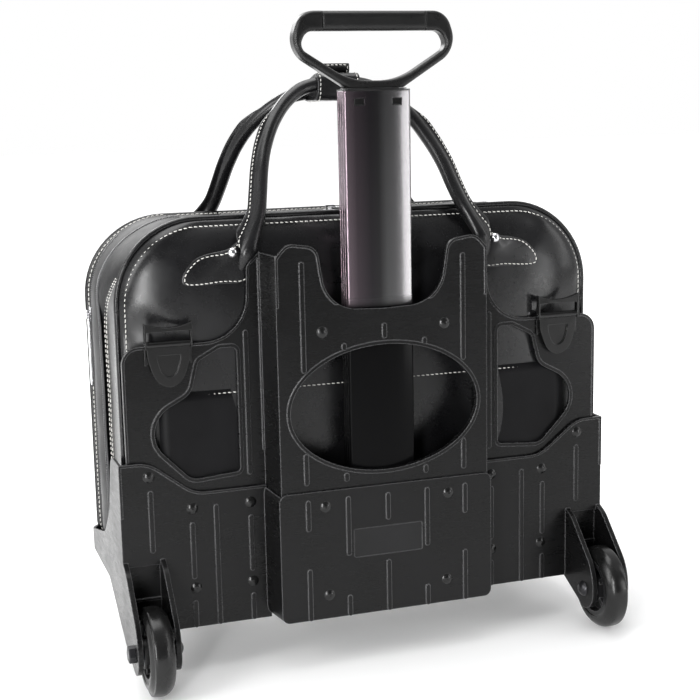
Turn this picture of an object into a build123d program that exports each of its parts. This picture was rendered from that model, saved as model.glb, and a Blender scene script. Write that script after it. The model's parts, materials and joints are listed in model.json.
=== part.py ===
from build123d import *
from math import atan2, degrees
import os

os.makedirs("parts", exist_ok=True)

# Rolling laptop case: a soft leather case that stands on a moulded two-wheeled trolley.
# Millimetres. +X is to the right as seen from the trolley side, +Y runs from the trolley
# towards the front of the case, +Z is up. The origin is on the floor, under the middle of
# the overall box. "Depth" is the distance in front of the rear face of the raised web.

# --- driving dimensions -------------------------------------------------------------
WHEEL_R = 38.0            # 76 mm wheels
WHEEL_X = 211.5           # middle of each wheel
WHEEL_DEPTH = -4.0        # axle, measured from the web's rear face
HANDLE_FRONT = 224.9      # foremost point, the front carry handle
WEB_Y = (WHEEL_R - WHEEL_DEPTH - HANDLE_FRONT) / 2

SHEET = 2.2               # moulded wall of the trolley
RIB_W = 4.2
RIB_H = 1.1
BEAD_W = 2.2
BEAD_H = 0.9

BASE_HALF = 230.0         # half width of the base
BASE_DEPTH = 32.8         # rear face of the base beside the box
BASE_LOW = 39.5
BASE_TOP = 192.0          # outer top corners of the base
BASE_WAIST = 161.5        # top edge beside the box
FLOOR_LOW = 68.5
FLOOR_TOP = 71.0
TRAY_FRONT = 216.6
CORNER_R = 16.0           # front corners of the tray, seen from above
LIP_TOP = 88.0

BOX_HALF = 99.2
BOX_DEPTH = -2.4
BOX_LOW = 44.0
BOX_TOP = 160.0
BOX_DRAFT = 6.0           # degrees
BOX_WALL = 1.7
LABEL_W = 64.0
LABEL_H = 25.5
LABEL_Z = 109.5

WING_DEPTH = BASE_DEPTH + SHEET + 0.2
WING_FRONT = WING_DEPTH + SHEET
WING_HALF = 222.5
WING_TOP = 292.0
FRAME_LOW = 140.0
WEB_HALF = 96.5
WEB_T = 2.5
EAR_TOP = 375.0
NOTCH_LOW = 316.0
OVAL_Z = 229.0
OVAL_A = 86.5
OVAL_B = 55.7

TUBE_DEPTH = 17.5         # middle of the telescoping tubes
TUBE_Y = WEB_Y + TUBE_DEPTH
TUBE_LOW = 62.0
TUBE_TOP = 500.0
OUTER = (60.0, 25.0, 3.0)     # width, depth and crown of each tube
OUTER_BORE = (57.2, 22.2, 2.8)
MIDDLE = (52.0, 18.5, 2.2)
MIDDLE_BORE = (49.4, 15.9, 2.0)
INNER = (44.0, 12.5, 1.5)
INNER_BORE = (41.6, 10.1, 1.3)
SLIDE_GAP = 0.14          # added to a bore's width and depth for a sliding fit

NECK_Z = 502.4            # underside of the grip
GRIP_TOP = 566.0
GRIP_HOLE_TOP = 549.5
GRIP_T = 14.0
PAD_HALF = 46.0
PAD_D = 15.4
GRIP_ROUND = 3.0
PRESS = 3.5               # button travel
PIN_TRAVEL = 2.5

AXLE_R = 3.95
ARM_INNER = (193.0, 197.5)
ARM_OUTER = (225.5, 230.0)
ARM_NOSE_R = 18.0

CASE_HALF = 223.0         # outer edge of the piping
CASE_LOW = 72.0
CASE_TOP = 397.5
FRONT_TOP = 389.5
CASE_CORNER = 75.0
CASE_FOOT_R = 22.0
PANEL_DEPTH = 39.6        # rear face of the crowned rear panel
REAR_SEAM = 55.5          # rear piping
SHELL_BACK = 60.2
SHELL_FRONT = 204.0
PANEL_FRONT = 213.6
SLOPE_Z = 362.0           # the padded panels lean inwards above this height
PIPE_W = 5.0
PIPE_T = 4.5
ZIP_DEPTH = 132.0         # line where the two top flaps meet
FLAP_HALF = 146.0
FLAP_Z = 386.0
FLAP_T = 2.4

HANDLE_R = 6.2
LATCH_X = 182.6
LATCH_HALF = 18.6
LATCH_PIN_Z = 293.5
LATCH_PIN_DEPTH = WING_DEPTH - 3.4

BASE_RIVETS = [(204.4, 179.3), (167.5, 147.5), (115.5, 147.5)]
FLOOR_RIVETS = [(166.7, 75.6), (115.5, 75.0)]
BOX_RIVETS = [(57.6, 145.8)]
SOCKET_RIVETS = [(55.7, 65.3)]
CLAMP_RIVETS = [(56.3, 299.0)]
RIVET_R = 5.2
RIVET_H = 1.9
SHANK_R = 2.0


# --- placing helpers ----------------------------------------------------------------
def upright(depth):
    """Plane at a depth, facing the rear: sketch x is X and sketch y is Z."""
    return Plane.XZ.offset(-(WEB_Y + depth))


def level(z, y=0.0):
    """Horizontal plane at a height, with its origin moved to y."""
    return Plane(origin=(0, y, z))


def sideways(x):
    """Plane across X: sketch x is the depth from the web and sketch y is Z."""
    return Plane(origin=(x, WEB_Y, 0), x_dir=(0, 1, 0), z_dir=(1, 0, 0))


def both(points):
    """The marks and their mirror images across X = 0."""
    return [(side * mark[0], *mark[1:]) for mark in points for side in (1, -1)]


def keep(name, piece):
    """Label a finished piece and write it under its own name."""
    piece.part.label = name
    export_step(piece.part, f"parts/{name}.step")


def keep_pair(name, piece):
    """Write a right-hand piece and its mirror image."""
    keep(f"{name}_right", piece)
    with BuildPart() as twin:
        mirror(piece.part, about=Plane.YZ)
    keep(f"{name}_left", twin)


# --- profiles -----------------------------------------------------------------------
def ribs(marks):
    """Upright rib marks with round ends; each mark is (x, low z, high z)."""
    with BuildSketch() as face:
        for x, low, high in marks:
            with Locations((x, (low + high) / 2)):
                SlotOverall(high - low, RIB_W, rotation=90)
    return face.sketch


def bead(outline, width=BEAD_W):
    """A band just inside an outline's edge."""
    with BuildSketch() as face:
        add(outline)
        offset(outline, amount=-width, kind=Kind.INTERSECTION, mode=Mode.SUBTRACT)
    return face.sketch


def tube_section(width, depth, crown):
    """Flat-sided tube section with crowned rear and front faces."""
    half = width / 2
    flat = depth / 2 - crown
    with BuildSketch() as face:
        with BuildLine():
            ThreePointArc((-half, -flat), (0, -depth / 2), (half, -flat))
            Line((half, -flat), (half, flat))
            ThreePointArc((half, flat), (0, depth / 2), (-half, flat))
            Line((-half, flat), (-half, -flat))
        make_face()
        fillet(face.vertices(), radius=2.0)
    return face.sketch


def loose(section, gap=SLIDE_GAP):
    """The same section with room to slide."""
    width, depth, crown = section
    return (width + gap, depth + gap, crown)


def case_outline(top, inset=0.0):
    """Upright outline of the soft case: large top corners, small bottom ones."""
    with BuildSketch() as face:
        with Locations((0, (CASE_LOW + top) / 2)):
            Rectangle(2 * (CASE_HALF - inset), top - CASE_LOW - 2 * inset)
        fillet(face.vertices().group_by(Axis.Y)[-1], radius=CASE_CORNER - inset)
        fillet(face.vertices().group_by(Axis.Y)[0], radius=CASE_FOOT_R - inset)
    return face.sketch


def base_outline():
    """Rear wall of the base, right of the box, with its S-shaped top edge."""
    with BuildSketch() as face:
        with BuildLine():
            Polyline(
                (BOX_HALF, BASE_WAIST),
                (BOX_HALF, BASE_LOW),
                (BASE_HALF, BASE_LOW),
                (BASE_HALF, BASE_TOP),
            )
            FilletPolyline(
                (BASE_HALF, BASE_TOP),
                (204, BASE_TOP),
                (165, BASE_WAIST),
                (BOX_HALF, BASE_WAIST),
                radius=30,
            )
        make_face()
    return face.sketch


def wing_outline():
    """Right wing of the back frame, below the leather and beside the channel."""
    inner = WEB_HALF + 3.5
    with BuildSketch() as face:
        with BuildLine():
            Polyline((inner, 367), (inner, FRAME_LOW), (WING_HALF, FRAME_LOW))
            FilletPolyline(
                (WING_HALF, FRAME_LOW),
                (WING_HALF, WING_TOP),
                (114, WING_TOP),
                (112, 356),
                (inner, 367),
                radius=[15, 38, 12],
            )
        make_face()
    return face.sketch


def window_outline():
    """D-shaped window in the right wing."""
    with BuildSketch() as face:
        with BuildLine():
            FilletPolyline(
                (123, 286),
                (123, 176),
                (166, 172.5),
                (214, 222),
                (164, 248),
                (157, 276),
                (138, 286),
                radius=[5, 4, 14, 26, 18, 7, 5],
                close=True,
            )
        make_face()
    return face.sketch


def web_outline():
    """Raised web of the back frame, with two ears and the notch between them."""
    with BuildSketch() as face:
        with BuildLine():
            FilletPolyline(
                (0, NOTCH_LOW),
                (51, NOTCH_LOW + 2),
                (59.5, EAR_TOP - 3),
                (86, EAR_TOP + 1),
                (WEB_HALF, 364),
                (WEB_HALF, FRAME_LOW),
                radius=[32, 12, 12, 5],
            )
            Polyline((WEB_HALF, FRAME_LOW), (0, FRAME_LOW), (0, NOTCH_LOW))
        make_face()
        mirror(about=Plane.YZ)
    return face.sketch


def grip_outline():
    """Outside of the D-shaped grip, above its flat underside."""
    with BuildSketch() as face:
        with BuildLine():
            Line((0, NECK_Z), (25.5, NECK_Z))
            FilletPolyline((25.5, NECK_Z), (76, 534), (65, GRIP_TOP), (0, GRIP_TOP), radius=[22, 17])
            Line((0, GRIP_TOP), (0, NECK_Z))
        make_face()
        mirror(about=Plane.YZ)
    return face.sketch


def grip_hole():
    """Hand hole of the D-shaped grip."""
    with BuildSketch() as face:
        with BuildLine():
            FilletPolyline(
                (0, 508.6),
                (22, 508.6),
                (66.5, 536),
                (60, GRIP_HOLE_TOP),
                (0, GRIP_HOLE_TOP),
                radius=[60, 8, 9],
            )
            Line((0, GRIP_HOLE_TOP), (0, 508.6))
        make_face()
        mirror(about=Plane.YZ)
    return face.sketch


def tray_side():
    """Side wall of the base: tall at the rear, sweeping down to a low front lip."""
    with BuildSketch() as face:
        with BuildLine():
            Polyline((BASE_DEPTH, FLOOR_LOW), (BASE_DEPTH, BASE_TOP))
            FilletPolyline(
                (BASE_DEPTH, BASE_TOP),
                (72, BASE_TOP),
                (91, 138),
                (124, 107.5),
                (TRAY_FRONT - CORNER_R, LIP_TOP),
                radius=[18, 30, 40],
            )
            Polyline(
                (TRAY_FRONT - CORNER_R, LIP_TOP),
                (TRAY_FRONT - CORNER_R, FLOOR_LOW),
                (BASE_DEPTH, FLOOR_LOW),
            )
        make_face()
    return face.sketch


def lip_section():
    """Front lip of the tray and the floor behind it, as far back as the corners turn."""
    turn = TRAY_FRONT - CORNER_R
    with BuildSketch() as face:
        with BuildLine():
            Line((turn, FLOOR_LOW), (TRAY_FRONT - 8, FLOOR_LOW))
            RadiusArc((TRAY_FRONT - 8, FLOOR_LOW), (TRAY_FRONT, FLOOR_LOW + 8), -8)
            Polyline(
                (TRAY_FRONT, FLOOR_LOW + 8),
                (TRAY_FRONT, LIP_TOP),
                (TRAY_FRONT - 2.5, LIP_TOP),
                (TRAY_FRONT - 2.5, FLOOR_LOW + 8),
                (TRAY_FRONT - 8, FLOOR_TOP),
                (turn, FLOOR_TOP),
                (turn, FLOOR_LOW),
            )
        make_face()
    return face.sketch


def arm_outline(gusset):
    """Wheel arm seen from the side; the outer one runs on as a gusset under the tray."""
    nose = WHEEL_DEPTH - ARM_NOSE_R
    if gusset:
        rest = [(38, 32), (112, FLOOR_LOW), (112, FLOOR_TOP), (38.2, FLOOR_TOP + 4), (38.2, 105.5)]
    else:
        rest = [(38.2, 40), (38.2, 105.5)]
    with BuildSketch() as face:
        with BuildLine():
            FilletPolyline(
                (BASE_DEPTH, 105.5),
                (21, 100),
                (nose, 58),
                (nose, WHEEL_R - ARM_NOSE_R),
                (WHEEL_DEPTH, WHEEL_R - ARM_NOSE_R),
                radius=[25, 40, ARM_NOSE_R - 0.5],
            )
            Polyline((WHEEL_DEPTH, WHEEL_R - ARM_NOSE_R), *rest, (BASE_DEPTH, 105.5))
        make_face()
    return face.sketch


# --- trolley base -------------------------------------------------------------------
WELL_TOP = 101.0
WELL_BACK = 36.0
BOSS_R = 6.5
BOSS_L = 2.1

with BuildPart() as base_tub:
    # Rear wall, right half.
    with BuildSketch(upright(BASE_DEPTH)):
        add(base_outline())
    extrude(amount=-SHEET)
    # Recess for the wheel between its two arms.
    with BuildSketch(upright(BASE_DEPTH)):
        with Locations(((ARM_INNER[1] + ARM_OUTER[0]) / 2, (BASE_LOW + WELL_TOP) / 2)):
            Rectangle(ARM_OUTER[0] - ARM_INNER[1], WELL_TOP - BASE_LOW)
    extrude(amount=-SHEET, mode=Mode.SUBTRACT)
    with BuildSketch(upright(WELL_BACK)):
        with Locations(((ARM_INNER[0] + ARM_OUTER[1]) / 2, (BASE_LOW + WELL_TOP + SHEET) / 2)):
            Rectangle(ARM_OUTER[1] - ARM_INNER[0], WELL_TOP + SHEET - BASE_LOW)
    extrude(amount=-SHEET)
    with BuildSketch(upright(BASE_DEPTH)):
        with Locations(((ARM_INNER[0] + ARM_OUTER[1]) / 2, WELL_TOP + SHEET / 2)):
            Rectangle(ARM_OUTER[1] - ARM_INNER[0], SHEET)
    extrude(amount=-(WELL_BACK + SHEET - BASE_DEPTH))
    # Wheel arms with their bosses.
    with BuildSketch(sideways(ARM_INNER[0])):
        add(arm_outline(gusset=False))
    extrude(amount=ARM_INNER[1] - ARM_INNER[0])
    with BuildSketch(sideways(ARM_OUTER[0])):
        add(arm_outline(gusset=True))
    extrude(amount=ARM_OUTER[1] - ARM_OUTER[0])
    for boss_x in (ARM_INNER[1], ARM_OUTER[0] - BOSS_L):
        with BuildSketch(sideways(boss_x)):
            with Locations((WHEEL_DEPTH, WHEEL_R)):
                Circle(BOSS_R)
        extrude(amount=BOSS_L)
    with BuildSketch(sideways(ARM_INNER[0] - 1)):
        with Locations((WHEEL_DEPTH, WHEEL_R)):
            Circle(AXLE_R + 0.05)
    extrude(amount=ARM_OUTER[1] - ARM_INNER[0] + 2, mode=Mode.SUBTRACT)
    # Side wall.
    with BuildSketch(sideways(BASE_HALF - 2.5)):
        add(tray_side())
    extrude(amount=2.5)
    # Raised edge and ribs.
    with BuildSketch(upright(BASE_DEPTH - BEAD_H)):
        add(bead(base_outline()))
        with Locations((BASE_HALF / 2 + 60, 40)):
            Rectangle(260, 210, mode=Mode.SUBTRACT)
    extrude(amount=-BEAD_H)
    with BuildSketch(upright(BASE_DEPTH - RIB_H)):
        add(ribs([
            (203.5, 112, 167),
            (168, 84, 135),
            (168, BASE_LOW, 64),
            (146.5, BASE_LOW, 149),
            (115.5, 85, 136),
            (115.5, BASE_LOW, 64),
        ]))
    extrude(amount=-RIB_H)
    mirror(about=Plane.YZ)
    # Centre box: drafted, open to the front and at the top.
    with BuildSketch(upright(BOX_DEPTH)) as box_face:
        with Locations((0, (BOX_LOW + BOX_TOP) / 2)):
            Rectangle(2 * BOX_HALF, BOX_TOP - BOX_LOW)
        fillet(box_face.vertices().group_by(Axis.Z)[0], radius=7)
    extrude(amount=-(BASE_DEPTH + SHEET - BOX_DEPTH), taper=-BOX_DRAFT)
    with BuildSketch(upright(BOX_DEPTH + SHEET)) as box_hollow:
        with Locations((0, (BOX_LOW + SHEET + 240) / 2)):
            Rectangle(2 * (BOX_HALF - BOX_WALL), 240 - BOX_LOW - SHEET)
        fillet(box_hollow.vertices().group_by(Axis.Z)[0], radius=5)
    extrude(amount=-(BASE_DEPTH - BOX_DEPTH), taper=-BOX_DRAFT, mode=Mode.SUBTRACT)
    with BuildSketch(upright(BOX_DEPTH - RIB_H)):
        add(ribs(both([(73.5, 125.5, 153), (73.5, BOX_LOW, 91), (37, 99.5, 153), (37, BOX_LOW, 63)])))
        add(ribs([(0, 128, 152.5), (0, BOX_LOW, 91)]))
    extrude(amount=-RIB_H - 0.5)
    with BuildSketch(upright(BOX_DEPTH)):
        with Locations((0, LABEL_Z)):
            RectangleRounded(LABEL_W, LABEL_H, 1.5)
    extrude(amount=-0.9, mode=Mode.SUBTRACT)
    # Tray floor, then the front lip and its rounded corners.
    turn = TRAY_FRONT - CORNER_R
    with BuildSketch(level(FLOOR_LOW, WEB_Y)):
        with Locations((0, (BASE_DEPTH + SHEET + turn) / 2)):
            Rectangle(2 * BASE_HALF - 3, turn - BASE_DEPTH - SHEET)
    extrude(amount=FLOOR_TOP - FLOOR_LOW)
    with BuildSketch(sideways(CORNER_R - BASE_HALF)):
        add(lip_section())
    extrude(amount=2 * (BASE_HALF - CORNER_R))
    for side in (1, -1):
        corner_x = side * (BASE_HALF - CORNER_R)
        with BuildSketch(sideways(corner_x)):
            add(lip_section())
        revolve(axis=Axis((corner_x, WEB_Y + turn, 0), (0, 0, -side)), revolution_arc=90)
    # Stiffening ribs under the floor.
    for rib_x in (-182, -112, -50, 50, 112, 182):
        with BuildSketch(sideways(rib_x - 0.9)):
            with BuildLine():
                Polyline(
                    (36, 44),
                    (36, FLOOR_LOW),
                    (185, FLOOR_LOW),
                    (185, FLOOR_LOW - 5),
                    (60, 58),
                    close=True,
                )
            make_face()
        extrude(amount=1.8)
    # Rivet holes.
    with BuildSketch(upright(BOX_DEPTH - 1)):
        with Locations(*both(BASE_RIVETS + FLOOR_RIVETS + BOX_RIVETS + SOCKET_RIVETS)):
            Circle(SHANK_R + 0.05)
    extrude(amount=-(BASE_DEPTH + SHEET - BOX_DEPTH + 1.2), mode=Mode.SUBTRACT)
keep("base_tub", base_tub)

with BuildPart() as label_plate:
    with BuildSketch(upright(BOX_DEPTH + 0.15)):
        with Locations((0, LABEL_Z)):
            RectangleRounded(LABEL_W - 0.6, LABEL_H - 0.6, 1.2)
    extrude(amount=-0.75)
keep("label_plate", label_plate)

# --- back frame ---------------------------------------------------------------------
SIDE_WALL = [
    (WEB_HALF - 2.5, 0),
    (WEB_HALF, 0),
    (WEB_HALF + 4.2, WING_FRONT),
    (WEB_HALF + 1.7, WING_FRONT),
    (WEB_HALF - 2.5, 0),
]

with BuildPart() as back_frame:
    # Channel side wall and wing, right half, then mirrored.
    with BuildSketch(level(FRAME_LOW, WEB_Y)):
        with BuildLine():
            Polyline(*SIDE_WALL)
        make_face()
    extrude(amount=366 - FRAME_LOW)
    with BuildSketch(upright(WING_DEPTH)):
        add(wing_outline())
        add(window_outline(), mode=Mode.SUBTRACT)
    extrude(amount=-SHEET)
    with BuildSketch(upright(WING_DEPTH - BEAD_H)):
        add(bead(wing_outline()))
        with Locations((160, 140)):
            Rectangle(200, 106, mode=Mode.SUBTRACT)
    extrude(amount=-BEAD_H)
    with BuildSketch(upright(WING_DEPTH - BEAD_H)):
        offset(window_outline(), amount=BEAD_W + 1)
        add(window_outline(), mode=Mode.SUBTRACT)
    extrude(amount=-BEAD_H)
    with BuildSketch(upright(WING_DEPTH - RIB_H)):
        add(ribs([(114.5, 172, 300)]))
    extrude(amount=-RIB_H)
    mirror(about=Plane.YZ)
    # Web with its oval window.
    with BuildSketch(upright(0)):
        add(web_outline())
        with Locations((0, OVAL_Z)):
            Ellipse(OVAL_A, OVAL_B, mode=Mode.SUBTRACT)
    extrude(amount=-WEB_T)
    with BuildSketch(upright(-BEAD_H)):
        add(bead(web_outline()))
        with Locations((0, 230)):
            Rectangle(2 * WEB_HALF + 2, 184, mode=Mode.SUBTRACT)
    extrude(amount=-BEAD_H)
    with BuildSketch(upright(-BEAD_H)):
        with Locations((0, OVAL_Z)):
            Ellipse(OVAL_A + 3.2, OVAL_B + 3.2)
            Ellipse(OVAL_A, OVAL_B, mode=Mode.SUBTRACT)
    extrude(amount=-(WEB_T + 2.9))
    with BuildSketch(upright(-RIB_H)):
        add(ribs(both([(73.5, 265, 360), (73.5, 166, 194), (37, 166, 173.5), (37, 282, 288)])))
        add(ribs([(0, 290, 303)]))
    extrude(amount=-RIB_H - 0.5)
    # The box of the base laps over the lowest part of the web.
    with BuildSketch(upright(BOX_DEPTH - 2)):
        with Locations((0, 148)):
            Rectangle(2 * WEB_HALF + 20, 28)
    extrude(amount=BOX_DEPTH - 2, mode=Mode.SUBTRACT)
    # Rivet holes.
    with BuildSketch(upright(-4)):
        with Locations(*both(BASE_RIVETS + BOX_RIVETS + CLAMP_RIVETS)):
            Circle(SHANK_R + 0.05)
    extrude(amount=-(WING_FRONT + 6), mode=Mode.SUBTRACT)
keep("back_frame", back_frame)


# --- rivets -------------------------------------------------------------------------
def dome_radius(rim, height):
    """Radius of the sphere that rises by a height over a rim."""
    return (rim**2 + height**2) / (2 * height)


def rivet(x, z, depth, grip):
    """One domed rivet with its head on the rear side."""
    seat = WEB_Y + depth
    with BuildPart() as one:
        with BuildSketch(Plane(origin=(x, seat, z), x_dir=(1, 0, 0), z_dir=(0, 0, 1))):
            with BuildLine():
                Line((0, -RIVET_H), (0, grip))
                Line((0, grip), (SHANK_R, grip))
                Line((SHANK_R, grip), (SHANK_R, 0))
                Line((SHANK_R, 0), (RIVET_R, 0))
                RadiusArc((RIVET_R, 0), (0, -RIVET_H), dome_radius(RIVET_R, RIVET_H))
            make_face()
        revolve(axis=Axis((x, seat, z), (0, 1, 0)))
    return one.part


with BuildPart() as frame_rivets:
    for rivet_x, rivet_z in both(BASE_RIVETS):
        add(rivet(rivet_x, rivet_z, BASE_DEPTH, WING_FRONT - BASE_DEPTH))
    for rivet_x, rivet_z in both(FLOOR_RIVETS):
        add(rivet(rivet_x, rivet_z, BASE_DEPTH, SHEET))
    for rivet_x, rivet_z in both(BOX_RIVETS):
        add(rivet(rivet_x, rivet_z, BOX_DEPTH, WEB_T - BOX_DEPTH))
    for rivet_x, rivet_z in both(SOCKET_RIVETS):
        add(rivet(rivet_x, rivet_z, BOX_DEPTH, 6 - BOX_DEPTH))
    for rivet_x, rivet_z in both(CLAMP_RIVETS):
        add(rivet(rivet_x, rivet_z, 0, 8))
keep("frame_rivets", frame_rivets)

# --- outer tube and what holds it ---------------------------------------------------
SOCKET_TOP = 84.0

with BuildPart() as outer_tube:
    with BuildSketch(level(TUBE_LOW, TUBE_Y)):
        add(tube_section(*OUTER))
        add(tube_section(*OUTER_BORE), mode=Mode.SUBTRACT)
        # Flutes down the narrow sides.
        with Locations(*[(side * OUTER[0] / 2, y) for side in (1, -1) for y in (-5.5, 0, 5.5)]):
            Circle(0.8, mode=Mode.SUBTRACT)
    extrude(amount=TUBE_TOP - TUBE_LOW)
    # Snap windows for the collar.
    with BuildSketch(upright(0)):
        with Locations((-17, 491), (17, 491)):
            Rectangle(9, 6)
    extrude(amount=-TUBE_DEPTH, mode=Mode.SUBTRACT)
keep("outer_tube", outer_tube)

with BuildPart() as outer_collar:
    with BuildSketch(level(478, TUBE_Y)):
        add(tube_section(OUTER_BORE[0] - 0.1, OUTER_BORE[1] - 0.1, OUTER_BORE[2]))
        add(tube_section(*loose(MIDDLE)), mode=Mode.SUBTRACT)
    extrude(amount=TUBE_TOP - 478)
    with BuildSketch(level(TUBE_TOP, TUBE_Y)):
        add(tube_section(*OUTER))
        add(tube_section(*loose(MIDDLE)), mode=Mode.SUBTRACT)
    extrude(amount=1.2)
    with BuildSketch(upright(TUBE_DEPTH - OUTER[1] / 2 + 0.9)):
        with Locations((-17, 491), (17, 491)):
            Rectangle(8.4, 5.4)
    extrude(amount=-2.0)
keep("outer_collar", outer_collar)

with BuildPart() as tube_socket:
    with BuildSketch(level(BOX_LOW + 3.2, TUBE_Y)):
        RectangleRounded(84, 31, 4)
    extrude(amount=SOCKET_TOP - BOX_LOW - 3.2)
    with BuildSketch(level(TUBE_LOW, TUBE_Y)):
        add(tube_section(OUTER[0] + 0.2, OUTER[1] + 0.2, OUTER[2]))
    extrude(amount=SOCKET_TOP - TUBE_LOW, mode=Mode.SUBTRACT)
    for ear_x in (1, -1):
        with BuildSketch(upright(0.2)):
            with Locations((ear_x * 50, 65.3)):
                RectangleRounded(26, 22, 3)
        extrude(amount=-6)
    with BuildSketch(upright(-1)):
        with Locations(*both(SOCKET_RIVETS)):
            Circle(SHANK_R + 0.05)
    extrude(amount=-9, mode=Mode.SUBTRACT)
keep("tube_socket", tube_socket)

with BuildPart() as tube_clamp:
    # A saddle round the front of the tube, riveted to the web on both sides.
    with BuildSketch(level(288, WEB_Y)):
        with Locations((0, 20.5)):
            Rectangle(72, 26)
        with Locations((0, 18)):
            Rectangle(60.4, 26, mode=Mode.SUBTRACT)
        with Locations((-50, 5.1), (50, 5.1)):
            Rectangle(32, 5)
    extrude(amount=22)
    with BuildSketch(upright(0)):
        with Locations(*both(CLAMP_RIVETS)):
            Circle(SHANK_R + 0.05)
    extrude(amount=-12, mode=Mode.SUBTRACT)
keep("tube_clamp", tube_clamp)

# --- telescoping stages -------------------------------------------------------------
MIDDLE_LOW = 66.0
INNER_LOW = 96.0
LOCK_Z = 84.0

with BuildPart() as middle_tube:
    with BuildSketch(level(MIDDLE_LOW, TUBE_Y)):
        add(tube_section(*MIDDLE))
        add(tube_section(*MIDDLE_BORE), mode=Mode.SUBTRACT)
    extrude(amount=TUBE_TOP + 1.4 - MIDDLE_LOW)
keep("middle_tube", middle_tube)

with BuildPart() as middle_foot:
    with BuildSketch(level(MIDDLE_LOW, TUBE_Y)):
        add(tube_section(*loose(OUTER_BORE, -SLIDE_GAP)))
        add(tube_section(*MIDDLE), mode=Mode.SUBTRACT)
    extrude(amount=26)
    with BuildSketch(level(MIDDLE_LOW - 2, TUBE_Y)):
        add(tube_section(*loose(OUTER_BORE, -SLIDE_GAP)))
    extrude(amount=2)
keep("middle_foot", middle_foot)

with BuildPart() as middle_collar:
    with BuildSketch(level(482, TUBE_Y)):
        add(tube_section(*loose(MIDDLE_BORE, -0.1)))
        add(tube_section(*loose(INNER)), mode=Mode.SUBTRACT)
    extrude(amount=TUBE_TOP + 1.4 - 482)
    with BuildSketch(level(TUBE_TOP + 1.4, TUBE_Y)):
        add(tube_section(55, 21, 2.4))
        add(tube_section(*loose(INNER)), mode=Mode.SUBTRACT)
    extrude(amount=0.8)
keep("middle_collar", middle_collar)

with BuildPart() as inner_tube:
    with BuildSketch(level(INNER_LOW, TUBE_Y)):
        add(tube_section(*INNER))
        add(tube_section(*INNER_BORE), mode=Mode.SUBTRACT)
    extrude(amount=504.5 - INNER_LOW)
keep("inner_tube", inner_tube)

with BuildPart() as inner_foot:
    # Lower block slides in the middle tube; the tongue fills the inner tube's end.
    with BuildSketch(level(70, TUBE_Y)):
        add(tube_section(*loose(MIDDLE_BORE, -SLIDE_GAP)))
    extrude(amount=INNER_LOW - 70)
    with BuildSketch(level(INNER_LOW, TUBE_Y)):
        add(tube_section(*loose(INNER_BORE, -0.1)))
    extrude(amount=16)
    # Room for the cam plate, its followers and the rod.
    with BuildSketch(level(73, TUBE_Y)):
        with Locations((0, 1)):
            Rectangle(36, 6.4)
    extrude(amount=20, mode=Mode.SUBTRACT)
    with BuildSketch(level(92, TUBE_Y)):
        Circle(2.3)
    extrude(amount=24, mode=Mode.SUBTRACT)
    with BuildSketch(Plane(origin=(-30, TUBE_Y, LOCK_Z), x_dir=(0, 1, 0), z_dir=(1, 0, 0))):
        Circle(3.05)
    extrude(amount=60, mode=Mode.SUBTRACT)
keep("inner_foot", inner_foot)

FOLLOWER_X = 8.0
CAM_SLOT = (PIN_TRAVEL**2 + PRESS**2) ** 0.5
CAM_ANGLE = 35.54         # lean of the slots, from the pins' and the button's travel

with BuildPart() as lock_pin:
    with BuildSketch(Plane(origin=(16.5, TUBE_Y, LOCK_Z), x_dir=(0, 1, 0), z_dir=(1, 0, 0))):
        Circle(3.0)
    extrude(amount=7.9)
    with BuildSketch(Plane(origin=(FOLLOWER_X - 2.4, TUBE_Y, LOCK_Z), x_dir=(0, 1, 0), z_dir=(1, 0, 0))):
        with Locations((2.3, 0)):
            Rectangle(1.2, 4.4)
    extrude(amount=17 - FOLLOWER_X + 2.4)
    with BuildSketch(Plane(origin=(FOLLOWER_X, TUBE_Y - 1.5, LOCK_Z), x_dir=(1, 0, 0), z_dir=(0, 1, 0))):
        Circle(1.4)
    extrude(amount=3.5)
keep_pair("lock_pin", lock_pin)

with BuildPart() as push_rod:
    with BuildSketch(level(90, TUBE_Y)):
        Circle(2.0)
    extrude(amount=499 - 90)
    # Cam plate: two diagonal slots draw the lock pins in as the rod goes down.
    with BuildSketch(Plane.XZ.offset(-(TUBE_Y + 1.5))):
        with Locations((0, LOCK_Z + 1)):
            Rectangle(25, 12)
        with BuildLine():
            Polyline((-2, 89), (-2, 92), (2, 92), (2, 89), (-2, 89))
        make_face()
    extrude(amount=3)
    with BuildSketch(Plane.XZ.offset(-(TUBE_Y + 1.6))):
        for side in (1, -1):
            with Locations((side * (FOLLOWER_X - PIN_TRAVEL / 2), LOCK_Z + PRESS / 2)):
                SlotCenterToCenter(CAM_SLOT + 0.4, 3.1, rotation=90 + side * CAM_ANGLE)
    extrude(amount=3.2, mode=Mode.SUBTRACT)
keep("push_rod", push_rod)

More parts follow.
